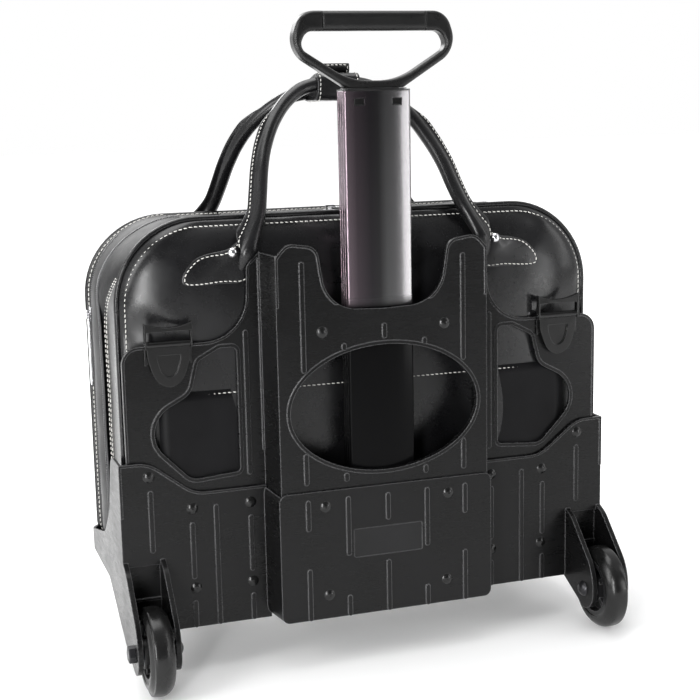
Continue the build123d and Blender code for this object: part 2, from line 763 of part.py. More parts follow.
# --- grip ---------------------------------------------------------------------------
with BuildPart() as grip_core:
    with BuildSketch(upright(TUBE_DEPTH - GRIP_T / 2)):
        add(grip_outline())
        add(grip_hole(), mode=Mode.SUBTRACT)
    extrude(amount=-GRIP_T)
    rims = grip_core.faces().group_by(Axis.Y)
    outer_edges = (rims[0] + rims[-1]).edges().filter_by(lambda edge: edge.center().Z > NECK_Z + 1)
    fillet(outer_edges, radius=GRIP_ROUND)
    # The bar is thinner where the soft pad surrounds it.
    with BuildSketch(upright(TUBE_DEPTH - GRIP_T / 2 - 1)):
        with Locations((0, (GRIP_TOP + GRIP_HOLE_TOP) / 2)):
            Rectangle(2 * PAD_HALF, 24)
    extrude(amount=-GRIP_T - 2, mode=Mode.SUBTRACT)
    with BuildSketch(upright(TUBE_DEPTH - 4)):
        with Locations((0, (GRIP_TOP + GRIP_HOLE_TOP) / 2)):
            Rectangle(2 * PAD_HALF + 0.2, 6.5)
    extrude(amount=-8)
    # Tongue inside the inner tube, with the spring well and the rod's bore.
    with BuildSketch(level(474, TUBE_Y)):
        add(tube_section(*loose(INNER_BORE, -0.1)))
    extrude(amount=505 - 474)
    with BuildSketch(level(NECK_Z - 0.01, TUBE_Y)):
        add(tube_section(*loose(INNER, 0.06)))
        add(tube_section(*loose(INNER_BORE, -0.1)), mode=Mode.SUBTRACT)
    extrude(amount=504.6 - NECK_Z, mode=Mode.SUBTRACT)
    with BuildSketch(level(493, TUBE_Y)):
        SlotOverall(20.2, 8.2)
    extrude(amount=20, mode=Mode.SUBTRACT)
    with BuildSketch(level(485, TUBE_Y)):
        Circle(3.9)
    extrude(amount=9, mode=Mode.SUBTRACT)
    with BuildSketch(level(470, TUBE_Y)):
        Circle(2.3)
    extrude(amount=20, mode=Mode.SUBTRACT)
keep("grip_core", grip_core)

with BuildPart() as grip_pad:
    with BuildSketch(upright(TUBE_DEPTH - PAD_D / 2)):
        with Locations((0, (GRIP_TOP + GRIP_HOLE_TOP) / 2)):
            Rectangle(2 * PAD_HALF - 0.3, GRIP_TOP - GRIP_HOLE_TOP)
    extrude(amount=-PAD_D)
    fillet(grip_pad.edges().filter_by(Axis.X), radius=5)
    with BuildSketch(upright(TUBE_DEPTH - 4)):
        with Locations((0, (GRIP_TOP + GRIP_HOLE_TOP) / 2)):
            Rectangle(2 * PAD_HALF + 0.2, 6.5)
    extrude(amount=-8, mode=Mode.SUBTRACT)
keep("grip_pad", grip_pad)

with BuildPart() as push_button:
    with BuildSketch(level(499, TUBE_Y)):
        SlotOverall(20.0, 8.0)
    extrude(amount=8.2)
    fillet(push_button.edges().group_by(Axis.Z)[-1], radius=1.2)
keep("push_button", push_button)

SPRING_R = 3.1
SPRING_WIRE = 0.35

with BuildPart() as button_spring:
    with BuildLine(Plane(origin=(0, TUBE_Y, 485.5))) as coil:
        Helix(pitch=2.1, height=12.9, radius=SPRING_R)
    with BuildSketch(Plane(origin=coil.line @ 0, z_dir=coil.line % 0)):
        Circle(SPRING_WIRE)
    sweep(path=coil.line, is_frenet=True)
keep("button_spring", button_spring)

# --- wheels -------------------------------------------------------------------------
HUB_R = 26.5
HUB_HALF = 9.5
BEARING_R = 11.0
BEARING_W = 7.0
BEARING_OUT = 11.5        # outer face of each bearing from the wheel's middle


WHEEL_PLANE = Plane(origin=(WHEEL_X, WEB_Y + WHEEL_DEPTH, WHEEL_R), x_dir=(1, 0, 0), z_dir=(0, -1, 0))
WHEEL_AXIS = Axis((WHEEL_X, WEB_Y + WHEEL_DEPTH, WHEEL_R), (1, 0, 0))
WHEEL_SIDE = Plane(origin=(WHEEL_X, WEB_Y + WHEEL_DEPTH, WHEEL_R), x_dir=(0, 1, 0), z_dir=(1, 0, 0))

with BuildPart() as tyre:
    with BuildSketch(WHEEL_PLANE):
        with BuildLine():
            Line((-9.5, HUB_R), (9.5, HUB_R))
            Spline((9.5, HUB_R), (10.8, 29.0), (7.6, 35.0), (0, WHEEL_R), tangents=[(1, 0.6), (-1, 0)])
            Spline((0, WHEEL_R), (-7.6, 35.0), (-10.8, 29.0), (-9.5, HUB_R), tangents=[(-1, 0), (1, -0.6)])
        make_face()
    revolve(axis=WHEEL_AXIS)
keep_pair("tyre", tyre)

with BuildPart() as hub:
    with BuildSketch(WHEEL_PLANE):
        with BuildLine():
            Polyline(
                (-HUB_HALF, HUB_R),
                (-HUB_HALF, 22.5),
                (-3, 21.5),
                (-3, 14.5),
                (-BEARING_OUT, 13.5),
                (-BEARING_OUT, BEARING_R),
                (-4.5, BEARING_R),
                (-4.5, 9.5),
                (4.5, 9.5),
                (4.5, BEARING_R),
                (BEARING_OUT, BEARING_R),
                (BEARING_OUT, 13.5),
                (3, 14.5),
                (3, 21.5),
                (HUB_HALF, 22.5),
                (HUB_HALF, HUB_R),
                (-HUB_HALF, HUB_R),
            )
        make_face()
    revolve(axis=WHEEL_AXIS)
    # Five spokes stand out of the thin web between the rim and the bearing seat.
    with BuildSketch(WHEEL_SIDE.offset(-8)):
        with PolarLocations(17.8, 5):
            Rectangle(10, 4.2)
    extrude(amount=16)
keep_pair("hub", hub)

with BuildPart() as bearings:
    for inner_x in (-BEARING_OUT, BEARING_OUT - BEARING_W):
        with BuildSketch(WHEEL_PLANE):
            with BuildLine():
                Polyline(
                    (inner_x, 4.0),
                    (inner_x, 6.0),
                    (inner_x + 0.6, 6.4),
                    (inner_x + 0.6, 9.0),
                    (inner_x, 9.4),
                    (inner_x, BEARING_R - 0.01),
                    (inner_x + BEARING_W, BEARING_R - 0.01),
                    (inner_x + BEARING_W, 4.0),
                    (inner_x, 4.0),
                )
            make_face()
        revolve(axis=WHEEL_AXIS)
keep_pair("bearings", bearings)

with BuildPart() as spacer:
    with BuildSketch(WHEEL_SIDE.offset(-4.4)):
        Circle(6.0)
        Circle(4.0, mode=Mode.SUBTRACT)
    extrude(amount=8.8)
keep_pair("spacer", spacer)

with BuildPart() as axle_bolts:
    with BuildSketch(WHEEL_PLANE):
        with BuildLine():
            Line((-23.5, 0), (23.9, 0))
            Line((23.9, 0), (23.9, AXLE_R))
            Line((23.9, AXLE_R), (ARM_INNER[0] - WHEEL_X, AXLE_R))
            Line((ARM_INNER[0] - WHEEL_X, AXLE_R), (ARM_INNER[0] - WHEEL_X, 7.2))
            RadiusArc((ARM_INNER[0] - WHEEL_X, 7.2), (-23.5, 0), -dome_radius(7.2, 5.0))
        make_face()
    revolve(axis=WHEEL_AXIS)
    mirror(about=Plane.YZ)
keep("axle_bolts", axle_bolts)

with BuildPart() as axle_nuts:
    with BuildSketch(sideways(ARM_OUTER[1])):
        with Locations((WHEEL_DEPTH, WHEEL_R)):
            RegularPolygon(7.5, 6)
            Circle(AXLE_R + 0.02, mode=Mode.SUBTRACT)
    extrude(amount=5.5)
    chamfer(axle_nuts.edges().group_by(Axis.X)[-1], length=0.8)
    mirror(about=Plane.YZ)
keep("axle_nuts", axle_nuts)

# --- front legs ---------------------------------------------------------------------
LEG_X = 150.0
LEG_DEPTH = 190.0
PAD_H = 5.0

with BuildPart() as leg:
    with BuildSketch(Plane(origin=(LEG_X, WEB_Y + LEG_DEPTH, FLOOR_LOW))) as leg_top:
        RectangleRounded(46, 32, 7)
    with BuildSketch(Plane(origin=(LEG_X, WEB_Y + LEG_DEPTH, PAD_H))):
        RectangleRounded(30, 22, 6)
    loft()
keep_pair("leg", leg)

with BuildPart() as foot_pads:
    with BuildSketch(Plane(origin=(LEG_X, WEB_Y + LEG_DEPTH, 0))):
        RectangleRounded(33, 25, 7)
    extrude(amount=PAD_H)
    fillet(foot_pads.edges().group_by(Axis.Z)[0], radius=1.5)
    mirror(about=Plane.YZ)
keep("foot_pads", foot_pads)


# --- latches ------------------------------------------------------------------------
def latch_tab_outline(shrink=0.0):
    """Shield shape of the latch tab, straight along the top and round at the tip."""
    half = LATCH_HALF - shrink
    top = 290.5 - shrink * 0.75
    tip = 256.6 + shrink
    high, low = (top + tip) / 2 + 1, tip + (top - tip) * 0.15
    with BuildSketch() as face:
        with BuildLine():
            Line((-half, top), (half, top))
            Spline(
                (half, top),
                (half * 0.87, high),
                (half * 0.55, low),
                (0, tip),
                (-half * 0.55, low),
                (-half * 0.87, high),
                (-half, top),
                tangents=[(0, -1), (0, 1)],
            )
        make_face()
    return face.sketch


LATCH_REAR = WING_DEPTH - 5.0

with BuildPart() as latch_loop:
    # Seat plate on the wing, and the open loop above it that the pin crosses.
    with BuildSketch(upright(WING_DEPTH - 1.6)):
        with Locations((LATCH_X, 276)):
            RectangleRounded(26, 24, 4)
    extrude(amount=-1.55)
    with BuildSketch(upright(LATCH_REAR - 1.4)):
        with BuildLine():
            Line((LATCH_X - 20.4, 290), (LATCH_X + 20.4, 290))
            Line((LATCH_X + 20.4, 290), (LATCH_X + 20.4, 312))
            ThreePointArc((LATCH_X + 20.4, 312), (LATCH_X, 307.5), (LATCH_X - 20.4, 312))
            Line((LATCH_X - 20.4, 312), (LATCH_X - 20.4, 290))
        make_face()
        with Locations((LATCH_X, 296)):
            Rectangle(2 * LATCH_HALF + 0.6, 17, mode=Mode.SUBTRACT)
    extrude(amount=-5.4)
    with BuildSketch(upright(WING_DEPTH - 1.6)):
        with Locations((LATCH_X - 19.6, 283), (LATCH_X + 19.6, 283)):
            Rectangle(1.6, 15)
    extrude(amount=-0.6)
    with BuildSketch(upright(WING_DEPTH - 1.6)):
        with Locations((LATCH_X, 280)):
            Rectangle(40.8, 6)
    extrude(amount=-0.6)
    with BuildSketch(sideways(LATCH_X - 25)):
        with Locations((LATCH_PIN_DEPTH, LATCH_PIN_Z)):
            Circle(1.5)
    extrude(amount=50, mode=Mode.SUBTRACT)
keep_pair("latch_loop", latch_loop)

with BuildPart() as latch_tab:
    with BuildSketch(upright(LATCH_REAR)):
        with Locations((LATCH_X, 0)):
            add(latch_tab_outline())
    extrude(amount=-2.8)
    with BuildSketch(upright(LATCH_REAR)):
        with Locations((LATCH_X, 0)):
            add(latch_tab_outline(shrink=8.5))
    extrude(amount=-2.0, mode=Mode.SUBTRACT)
    with BuildSketch(sideways(LATCH_X - LATCH_HALF)):
        with Locations((LATCH_PIN_DEPTH, LATCH_PIN_Z)):
            Circle(2.9)
        with Locations((LATCH_PIN_DEPTH, LATCH_PIN_Z - 2)):
            Rectangle(2.6, 4)
    extrude(amount=2 * LATCH_HALF)
    with BuildSketch(sideways(LATCH_X - 25)):
        with Locations((LATCH_PIN_DEPTH, LATCH_PIN_Z)):
            Circle(1.55)
    extrude(amount=50, mode=Mode.SUBTRACT)
keep_pair("latch_tab", latch_tab)

with BuildPart() as latch_pins:
    with BuildSketch(sideways(LATCH_X - 20.4)):
        with Locations((LATCH_PIN_DEPTH, LATCH_PIN_Z)):
            Circle(1.48)
    extrude(amount=40.8)
    mirror(about=Plane.YZ)
keep("latch_pins", latch_pins)

# --- soft case ----------------------------------------------------------------------
with BuildPart() as bag_shell:
    with BuildSketch(upright(SHELL_BACK)):
        add(case_outline(FLAP_Z + FLAP_T + 1, 1.5))
    extrude(amount=-(SHELL_FRONT - SHELL_BACK))
    with BuildSketch(upright(SHELL_BACK + 4)):
        add(case_outline(FLAP_Z + FLAP_T + 1, 5.5))
    extrude(amount=-(SHELL_FRONT - SHELL_BACK - 8), mode=Mode.SUBTRACT)
    with BuildSketch(level(FLAP_Z - 12, WEB_Y)):
        with Locations((0, (SHELL_BACK + SHELL_FRONT) / 2)):
            Rectangle(2 * FLAP_HALF + 0.6, SHELL_FRONT - SHELL_BACK - 8)
    extrude(amount=30, mode=Mode.SUBTRACT)
keep("bag_shell", bag_shell)

with BuildPart() as rear_panel:
    with BuildSketch(upright(REAR_SEAM + PIPE_T)):
        add(case_outline(CASE_TOP, PIPE_W + 0.2))
    extrude(amount=PIPE_T)
    with BuildSketch(upright(REAR_SEAM)):
        add(case_outline(CASE_TOP, PIPE_W + 0.2))
    extrude(amount=REAR_SEAM - PANEL_DEPTH, taper=38)
    with BuildSketch(sideways(-CASE_HALF)):
        with BuildLine():
            Polyline(
                (PANEL_DEPTH - 1.6, SLOPE_Z),
                (REAR_SEAM, CASE_TOP),
                (PANEL_DEPTH - 1.6, CASE_TOP),
                close=True,
            )
        make_face()
    extrude(amount=2 * CASE_HALF, mode=Mode.SUBTRACT)
keep("rear_panel", rear_panel)

with BuildPart() as front_panel:
    with BuildSketch(upright(SHELL_FRONT + 0.2)):
        add(case_outline(FRONT_TOP, PIPE_W + 0.2))
    extrude(amount=-PIPE_T)
    with BuildSketch(upright(SHELL_FRONT + 0.2 + PIPE_T)):
        add(case_outline(FRONT_TOP, PIPE_W + 0.2))
    extrude(amount=-(PANEL_FRONT - SHELL_FRONT - 0.2 - PIPE_T), taper=45)
    with BuildSketch(sideways(-CASE_HALF)):
        with BuildLine():
            Polyline(
                (PANEL_FRONT + 0.4, SLOPE_Z),
                (SHELL_FRONT + 4.7, FRONT_TOP - 3),
                (PANEL_FRONT + 0.4, FRONT_TOP - 3),
                close=True,
            )
        make_face()
    extrude(amount=2 * CASE_HALF, mode=Mode.SUBTRACT)
keep("front_panel", front_panel)

for pipe_name, pipe_depth, pipe_top in (
    ("piping_rear", REAR_SEAM, CASE_TOP),
    ("piping_front", SHELL_FRONT + 0.2, FRONT_TOP),
):
    with BuildPart() as piping:
        with BuildSketch(upright(pipe_depth)):
            add(case_outline(pipe_top))
            add(case_outline(pipe_top, PIPE_W), mode=Mode.SUBTRACT)
        extrude(amount=-PIPE_T)
    keep(pipe_name, piping)

with BuildPart() as rear_pocket:
    with BuildSketch(upright(PANEL_DEPTH - 1.0)):
        with Locations((0, 168)):
            RectangleRounded(380, 146, 8)
    extrude(amount=-0.95)
keep("rear_pocket", rear_pocket)

with BuildPart() as base_board:
    with BuildSketch(level(CASE_LOW + 6, WEB_Y)):
        with Locations((0, (SHELL_BACK + SHELL_FRONT) / 2)):
            RectangleRounded(390, SHELL_FRONT - SHELL_BACK - 10, 4)
    extrude(amount=2.5)
keep("base_board", base_board)

SLEEVE_BACK = SHELL_BACK + 5
SLEEVE_D = 40.0
SLEEVE_W = 400.0

with BuildPart() as laptop_sleeve:
    with BuildSketch(level(CASE_LOW + 9, WEB_Y)):
        with Locations((0, SLEEVE_BACK + SLEEVE_D / 2)):
            RectangleRounded(SLEEVE_W, SLEEVE_D, 5)
    extrude(amount=230)
    with BuildSketch(level(CASE_LOW + 16, WEB_Y)):
        with Locations((0, SLEEVE_BACK + SLEEVE_D / 2)):
            RectangleRounded(SLEEVE_W - 10, SLEEVE_D - 10, 3)
    extrude(amount=240, mode=Mode.SUBTRACT)
keep("laptop_sleeve", laptop_sleeve)

for flap_name, flap_back, flap_front in (
    ("top_flap_rear", SHELL_BACK + 4.3, ZIP_DEPTH - 0.4),
    ("top_flap_front", ZIP_DEPTH + 0.4, SHELL_FRONT - 4.3),
):
    with BuildPart() as flap:
        with BuildSketch(level(FLAP_Z, WEB_Y)):
            with Locations((0, (flap_back + flap_front) / 2)):
                Rectangle(2 * FLAP_HALF, flap_front - flap_back)
        extrude(amount=FLAP_T)
    keep(flap_name, flap)


# --- carry handles ------------------------------------------------------------------
def carry_handle(route, radii):
    """Rolled leather handle: a tube over the route and its mirror image."""
    points = [(x, WEB_Y + depth, z) for x, depth, z in route]
    whole = points + [(-x, y, z) for x, y, z in reversed(points)]
    with BuildPart() as tube:
        with BuildLine() as path:
            FilletPolyline(*whole, radius=radii + radii[::-1])
        with BuildSketch(Plane(origin=path.line @ 0, z_dir=path.line % 0)):
            Circle(HANDLE_R)
        sweep(path=path.line)
    return tube


# Depth and height of each handle's crown, where the wrap holds them together.
REAR_CROWN = (116.0, 508.5)
FRONT_CROWN = (146.0, 500.0)

# Corners of each handle's middle line, right half: x, depth and height.
REAR_ROUTE = [
    (109, 34, 369),
    (103, 40.5, 381),
    (95, 47.2, 397),
    (88, 64, 425),
    (76, 86, 459),
    (57, 105, 489),
    (30, REAR_CROWN[0], REAR_CROWN[1]),
]
FRONT_ROUTE = [
    (109, 218.8, 369),
    (103, 218, 381),
    (95, 213.2, 397),
    (88, 198, 425),
    (76, 177, 456),
    (57, 157, 483),
    (30, FRONT_CROWN[0], FRONT_CROWN[1]),
]
HANDLE_RADII = [60, 60, 90, 90, 50, 28]

keep("carry_handle_rear", carry_handle(REAR_ROUTE, HANDLE_RADII))
keep("carry_handle_front", carry_handle(FRONT_ROUTE, HANDLE_RADII))


def tab_outline():
    """Stitched tab at the foot of a handle leg, right-hand side."""
    with BuildSketch() as face:
        with BuildLine():
            FilletPolyline(
                (99, 364.5),
                (116.2, 364.5),
                (118, 371.8),
                (130, 371.3),
                (152, 365.5),
                (168, 349),
                (166, 339.5),
                (112, 339.5),
                (99, 355),
                radius=[1.5, 2, 10, 12, 8, 5, 4],
            )
            Line((99, 355), (99, 364.5))
        make_face()
    return face.sketch


with BuildPart() as handle_tabs:
    for tab_depth in (PANEL_DEPTH - 1.7, PANEL_FRONT + 0.1):
        with BuildSketch(upright(tab_depth)):
            add(tab_outline())
        extrude(amount=-1.6)
    mirror(about=Plane.YZ)
keep("handle_tabs", handle_tabs)

STUD_X = 122.4
STUD_Z = 366.8

with BuildPart() as handle_studs:
    for stud_y, outward in ((WEB_Y + PANEL_DEPTH - 1.7, -1), (WEB_Y + PANEL_FRONT + 1.7, 1)):
        with BuildSketch(Plane(origin=(STUD_X, stud_y, STUD_Z), x_dir=(1, 0, 0), z_dir=(0, 0, 1))):
            with BuildLine():
                Line((0, 0), (4.2, 0))
                Line((4.2, 0), (4.2, outward * 0.8))
                RadiusArc((4.2, outward * 0.8), (0, outward * 3.4), -outward * dome_radius(4.2, 2.6))
                Line((0, outward * 3.4), (0, 0))
            make_face()
        revolve(axis=Axis((STUD_X, stud_y, STUD_Z), (0, 1, 0)))
    mirror(about=Plane.YZ)
keep("handle_studs", handle_studs)

WRAP_HALF = 20.0
WRAP_T = 2.4
WRAP_R = HANDLE_R + 0.5 + WRAP_T
CROWN_GAP = Vector(*FRONT_CROWN) - Vector(*REAR_CROWN)
CROWN_MID = (Vector(*FRONT_CROWN) + Vector(*REAR_CROWN)) / 2
WRAP_TILT = degrees(atan2(CROWN_GAP.Y, CROWN_GAP.X))

with BuildPart() as handle_wrap:
    with BuildSketch(sideways(-WRAP_HALF)):
        with Locations((CROWN_MID.X, CROWN_MID.Y)):
            SlotCenterToCenter(CROWN_GAP.length, 2 * WRAP_R, rotation=WRAP_TILT)
            SlotCenterToCenter(
                CROWN_GAP.length,
                2 * (WRAP_R - WRAP_T),
                rotation=WRAP_TILT,
                mode=Mode.SUBTRACT,
            )
    extrude(amount=2 * WRAP_HALF)
keep("handle_wrap", handle_wrap)

# Snap on top of the wrap, square to its slope.
UP = Vector(0, -CROWN_GAP.Y, CROWN_GAP.X).normalized()
SNAP_AT = Vector(0, WEB_Y + CROWN_MID.X, CROWN_MID.Y) + UP * (WRAP_R + 0.1)

with BuildPart() as wrap_snap:
    with BuildSketch(Plane(origin=SNAP_AT, x_dir=(1, 0, 0), z_dir=Vector(1, 0, 0).cross(UP))):
        with BuildLine():
            Line((0, 0), (6.5, 0))
            Line((6.5, 0), (6.5, 1.2))
            RadiusArc((6.5, 1.2), (0, 3.2), -dome_radius(6.5, 2.0))
            Line((0, 3.2), (0, 0))
        make_face()
    revolve(axis=Axis(SNAP_AT, UP))
keep("wrap_snap", wrap_snap)

# --- zipper sliders and pulls -------------------------------------------------------
SLIDER_Z = FLAP_Z + FLAP_T
SLIDER_X = -2.0
SLIDER_DEPTH = ZIP_DEPTH + 5.2
PULL_R = 1.3

with BuildPart() as zip_slider_top:
    with BuildSketch(Plane(origin=(SLIDER_X, WEB_Y + SLIDER_DEPTH, SLIDER_Z + 0.1))):
        RectangleRounded(13, 8.6, 2.5)
    extrude(amount=2.6)
    bridge = Plane(
        origin=(SLIDER_X, WEB_Y + SLIDER_DEPTH - 1.5, SLIDER_Z + 2.7),
        x_dir=(1, 0, 0),
        z_dir=(0, -1, 0),
    )
    with BuildSketch(bridge):
        Rectangle(9, 9)
        with Locations((0, 1.6)):
            Rectangle(5.6, 3.2, mode=Mode.SUBTRACT)
        with Locations((0, -3)):
            Rectangle(9, 3.2, mode=Mode.SUBTRACT)
    extrude(amount=-3)
keep("zip_slider_top", zip_slider_top)

with BuildPart() as zip_pull_top:
    pull_y = WEB_Y + SLIDER_DEPTH
    bail_z = SLIDER_Z + 4.2
    with BuildSketch(Plane(origin=(SLIDER_X, pull_y, bail_z - 0.9))):
        with Locations((11, 0)):
            RectangleRounded(24, 8, 2)
        with Locations((3.2, 0)):
            Rectangle(6.4, 4.4, mode=Mode.SUBTRACT)
    extrude(amount=1.8)
keep("zip_pull_top", zip_pull_top)

SIDE_X = -(CASE_HALF - 1.5)
SIDE_ZIP_DEPTH = 188.0
SIDE_SLIDER_Z = 300.0


def left_side(out):
    """Plane that faces -X over the side zipper, a distance outside the case."""
    return Plane(
        origin=(SIDE_X - out, WEB_Y + SIDE_ZIP_DEPTH, SIDE_SLIDER_Z),
        x_dir=(0, -1, 0),
        z_dir=(-1, 0, 0),
    )


with BuildPart() as zip_slider_side:
    with BuildSketch(left_side(0.1)):
        RectangleRounded(9, 14, 2.5)
    extrude(amount=2.4)
    with BuildSketch(left_side(2.5)):
        with Locations((0, 3.4), (0, -3.4)):
            Rectangle(3, 1.6)
    extrude(amount=2.4)
    with BuildSketch(left_side(4.9)):
        Rectangle(3, 8.4)
    extrude(amount=1.0)
keep("zip_slider_side", zip_slider_side)

with BuildPart() as zip_pull_side:
    with BuildSketch(left_side(2.8)):
        with Locations((0, -1.5)):
            Rectangle(9, 6.0)
        with Locations((0, -35.5)):
            RectangleRounded(9, 64, 3)
        with Locations((0, -2.9)):
            Rectangle(3.4, 7.2, mode=Mode.SUBTRACT)
    extrude(amount=1.8)
keep("zip_pull_side", zip_pull_side)
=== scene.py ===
import json
import math

import bpy
from mathutils import Matrix, Vector, noise


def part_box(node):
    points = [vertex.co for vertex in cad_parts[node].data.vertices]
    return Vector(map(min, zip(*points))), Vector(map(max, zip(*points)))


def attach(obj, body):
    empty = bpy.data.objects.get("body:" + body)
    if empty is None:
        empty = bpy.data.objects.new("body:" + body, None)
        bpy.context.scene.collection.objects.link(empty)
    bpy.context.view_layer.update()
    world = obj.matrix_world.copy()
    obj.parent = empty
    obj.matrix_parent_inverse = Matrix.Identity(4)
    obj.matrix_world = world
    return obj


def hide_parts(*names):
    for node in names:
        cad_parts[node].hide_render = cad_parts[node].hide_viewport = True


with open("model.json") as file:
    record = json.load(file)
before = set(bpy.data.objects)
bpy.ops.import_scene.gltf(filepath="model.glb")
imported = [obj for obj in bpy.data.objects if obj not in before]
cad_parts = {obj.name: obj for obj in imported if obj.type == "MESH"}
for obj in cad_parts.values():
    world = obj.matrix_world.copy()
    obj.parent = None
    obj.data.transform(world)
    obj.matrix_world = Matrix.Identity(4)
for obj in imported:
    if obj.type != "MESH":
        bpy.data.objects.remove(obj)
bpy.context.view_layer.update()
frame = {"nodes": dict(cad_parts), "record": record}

MM = 0.001
TUBE_DEPTH = 17.5    # middle of the outer tube, in front of the raised web
tube_low, tube_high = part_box("outer_tube")
WEB_Y = (tube_low[1] + tube_high[1]) / 2 - TUBE_DEPTH * MM

# Case outline, in millimetres: depths are measured forwards from the raised web.
CASE_HALF, CASE_LOW, CASE_TOP = 223.0, 72.0, 397.5
FRONT_DROP = 8.0       # the front seam runs this much lower along the top
FRONT_WIDE = 1.0103    # the front seam bulges a little wider than the rear one
FRONT_LEAN = 0.6       # share of the rear face's lean that the front face has
CORNER_R, FOOT_R = 75.0, 22.0
REAR_SEAM, FRONT_SEAM = 57.6, 206.5
SHELL_BACK, SHELL_FRONT = 59.5, 204.5
SIDE_SEAM, ZIP_DEPTH, POCKET_ZIP_DEPTH = 122.0, 132.0, 188.0
# The zipped top: its half width, its rear and front ends, and the slit between its halves.
FLAP_HALF, FLAP_REAR, FLAP_FRONT = 146.0, 64.2, 200.0
SLIT_REAR, SLIT_FRONT = 131.6, 132.4
TOP_LEVEL = 380.0      # only the top of the case and its rounded corners are higher
PANEL_DEPTH, PANEL_FRONT = 39.3, 213.4
EDGE_SET = 0.6         # the panels start this far inside the seams
THREAD_LIFT = 0.4      # middle of a stitch above the leather


def at(x, depth, z):
    """Point in metres from an x, a depth in front of the web and a height, in millimetres."""
    return Vector((x * MM, WEB_Y + depth * MM, z * MM))


# --- node helpers
def new_material(name):
    material = bpy.data.materials.new(name)
    material.use_nodes = True
    tree = material.node_tree
    place = tree.nodes.new("ShaderNodeTexCoord").outputs["Object"]
    return material, tree, tree.nodes["Principled BSDF"], place


def feed(tree, node, inputs):
    """Links or sets the inputs of a node."""
    for key, value in inputs.items():
        if isinstance(value, bpy.types.NodeSocket):
            tree.links.new(value, node.inputs[key])
        else:
            node.inputs[key].default_value = value


def add_node(tree, kind, inputs, **settings):
    node = tree.nodes.new("ShaderNode" + kind)
    for key, value in settings.items():
        setattr(node, key, value)
    feed(tree, node, inputs)
    return node


def noise_node(tree, place, scale, detail=4.0, roughness=0.55, stretch=None):
    if stretch:
        place = add_node(tree, "Mapping", {"Vector": place, "Scale": stretch}).outputs["Vector"]
    inputs = {"Vector": place, "Scale": scale, "Detail": detail, "Roughness": roughness}
    return add_node(tree, "TexNoise", inputs).outputs["Fac"]


def cells_node(tree, place, scale):
    return add_node(tree, "TexVoronoi", {"Vector": place, "Scale": scale}).outputs["Distance"]


def axis(tree, place, letter):
    return add_node(tree, "SeparateXYZ", {"Vector": place}).outputs[letter]


def ramp(tree, value, low, high, start=0.3, stop=0.7):
    inputs = {"Value": value, "From Min": start, "From Max": stop, "To Min": low, "To Max": high}
    return add_node(tree, "MapRange", inputs).outputs["Result"]


def tint(tree, value, dark, light, start=0.3, stop=0.7):
    node = add_node(tree, "ValToRGB", {"Fac": value})
    for end, position, colour in zip(node.color_ramp.elements, (start, stop), (dark, light)):
        end.position = position
        end.color = (*colour, 1)
    return node.outputs["Color"]


def bump(tree, height, strength, distance, normal=None):
    inputs = {"Height": height, "Strength": strength, "Distance": distance}
    if normal is not None:
        inputs["Normal"] = normal
    return add_node(tree, "Bump", inputs).outputs["Normal"]


def soft_edges(tree, radius):
    return add_node(tree, "Bevel", {"Radius": radius}, samples=4).outputs["Normal"]


def edge_highlight_mask(tree, rounded):
    """Mask of the narrow edges, where the rounded normal turns away from the flat one. The
    materials use it to paint highlights along those edges.
    """
    flat = tree.nodes.new("ShaderNodeNewGeometry").outputs["Normal"]
    compare = add_node(tree, "VectorMath", {0: flat, 1: rounded}, operation="DOT_PRODUCT")
    return ramp(tree, compare.outputs["Value"], 1.0, 0.0, 0.84, 0.985)


def mixed(tree, share, first, second):
    """Colour mixed from two colours or colour outputs."""
    first, second = ((*v, 1) if isinstance(v, tuple) else v for v in (first, second))
    inputs = {"Factor": share, "A": first, "B": second}
    return add_node(tree, "Mix", inputs, data_type="RGBA").outputs["Result"]


def combine(tree, a, b, operation="ADD"):
    return add_node(tree, "Math", {0: a, 1: b}, operation=operation).outputs["Value"]


# --- materials
def grey(value):
    return (value, value, value)


def leather(name, gloss=0.30, grain=0.3, shine=0.40, coat=0.12):
    """Smooth pulled leather: fine pores, soft creases and a broad sheen."""
    material, tree, shader, place = new_material(name)
    cloud = noise_node(tree, place, 22, 3)
    pores = cells_node(tree, place, 1100)
    crease = noise_node(tree, place, 240, 6, 0.65)
    waves = bump(tree, noise_node(tree, place, 30, 2, 0.5), 0.22, 0.0010)
    fine = bump(tree, crease, grain, 0.00018, waves)
    patches = ramp(tree, cloud, gloss - 0.05, gloss + 0.07)
    feed(tree, shader, {
        "Base Color": tint(tree, cloud, (0.004, 0.004, 0.0044), (0.008, 0.008, 0.0088)),
        "Roughness": combine(tree, patches, ramp(tree, crease, -0.03, 0.04)),
        "Specular IOR Level": shine,
        "Coat Weight": coat,
        "Coat Roughness": 0.22,
        "Normal": bump(tree, pores, grain * 0.6, 0.00012, fine),
    })
    return material


def moulding(name, colour=0.0045, rough=0.28, edge=0.0012, shine=0.24):
    """Satin moulded plastic with a very fine spark texture, and painted highlights along its
    edges: paler colour and more specular.
    """
    material, tree, shader, place = new_material(name)
    cloud = noise_node(tree, place, 14, 3)
    spark = noise_node(tree, place, 2600, 2, 0.7)
    scuff = noise_node(tree, place, 60, 6, 0.75, stretch=(1, 1, 5))
    rounded = soft_edges(tree, edge)
    # Painted highlight: the narrow edges get a paler colour and more specular, standing in for
    # light catching them.
    painted_edge_highlight = edge_highlight_mask(tree, rounded)
    body = tint(tree, cloud, grey(colour * 0.8), (colour * 1.25, colour * 1.25, colour * 1.32))
    patches = ramp(tree, cloud, rough - 0.04, rough + 0.05)
    feed(tree, shader, {
        "Base Color": mixed(tree, painted_edge_highlight, body, (0.125, 0.125, 0.129)),
        "Roughness": combine(tree, patches, ramp(tree, scuff, -0.05, 0.07)),
        "Specular IOR Level": combine(tree, combine(tree, painted_edge_highlight, 0.5, "MULTIPLY"), shine),
        "Normal": bump(tree, spark, 0.16, 0.00008, rounded),
    })
    return material


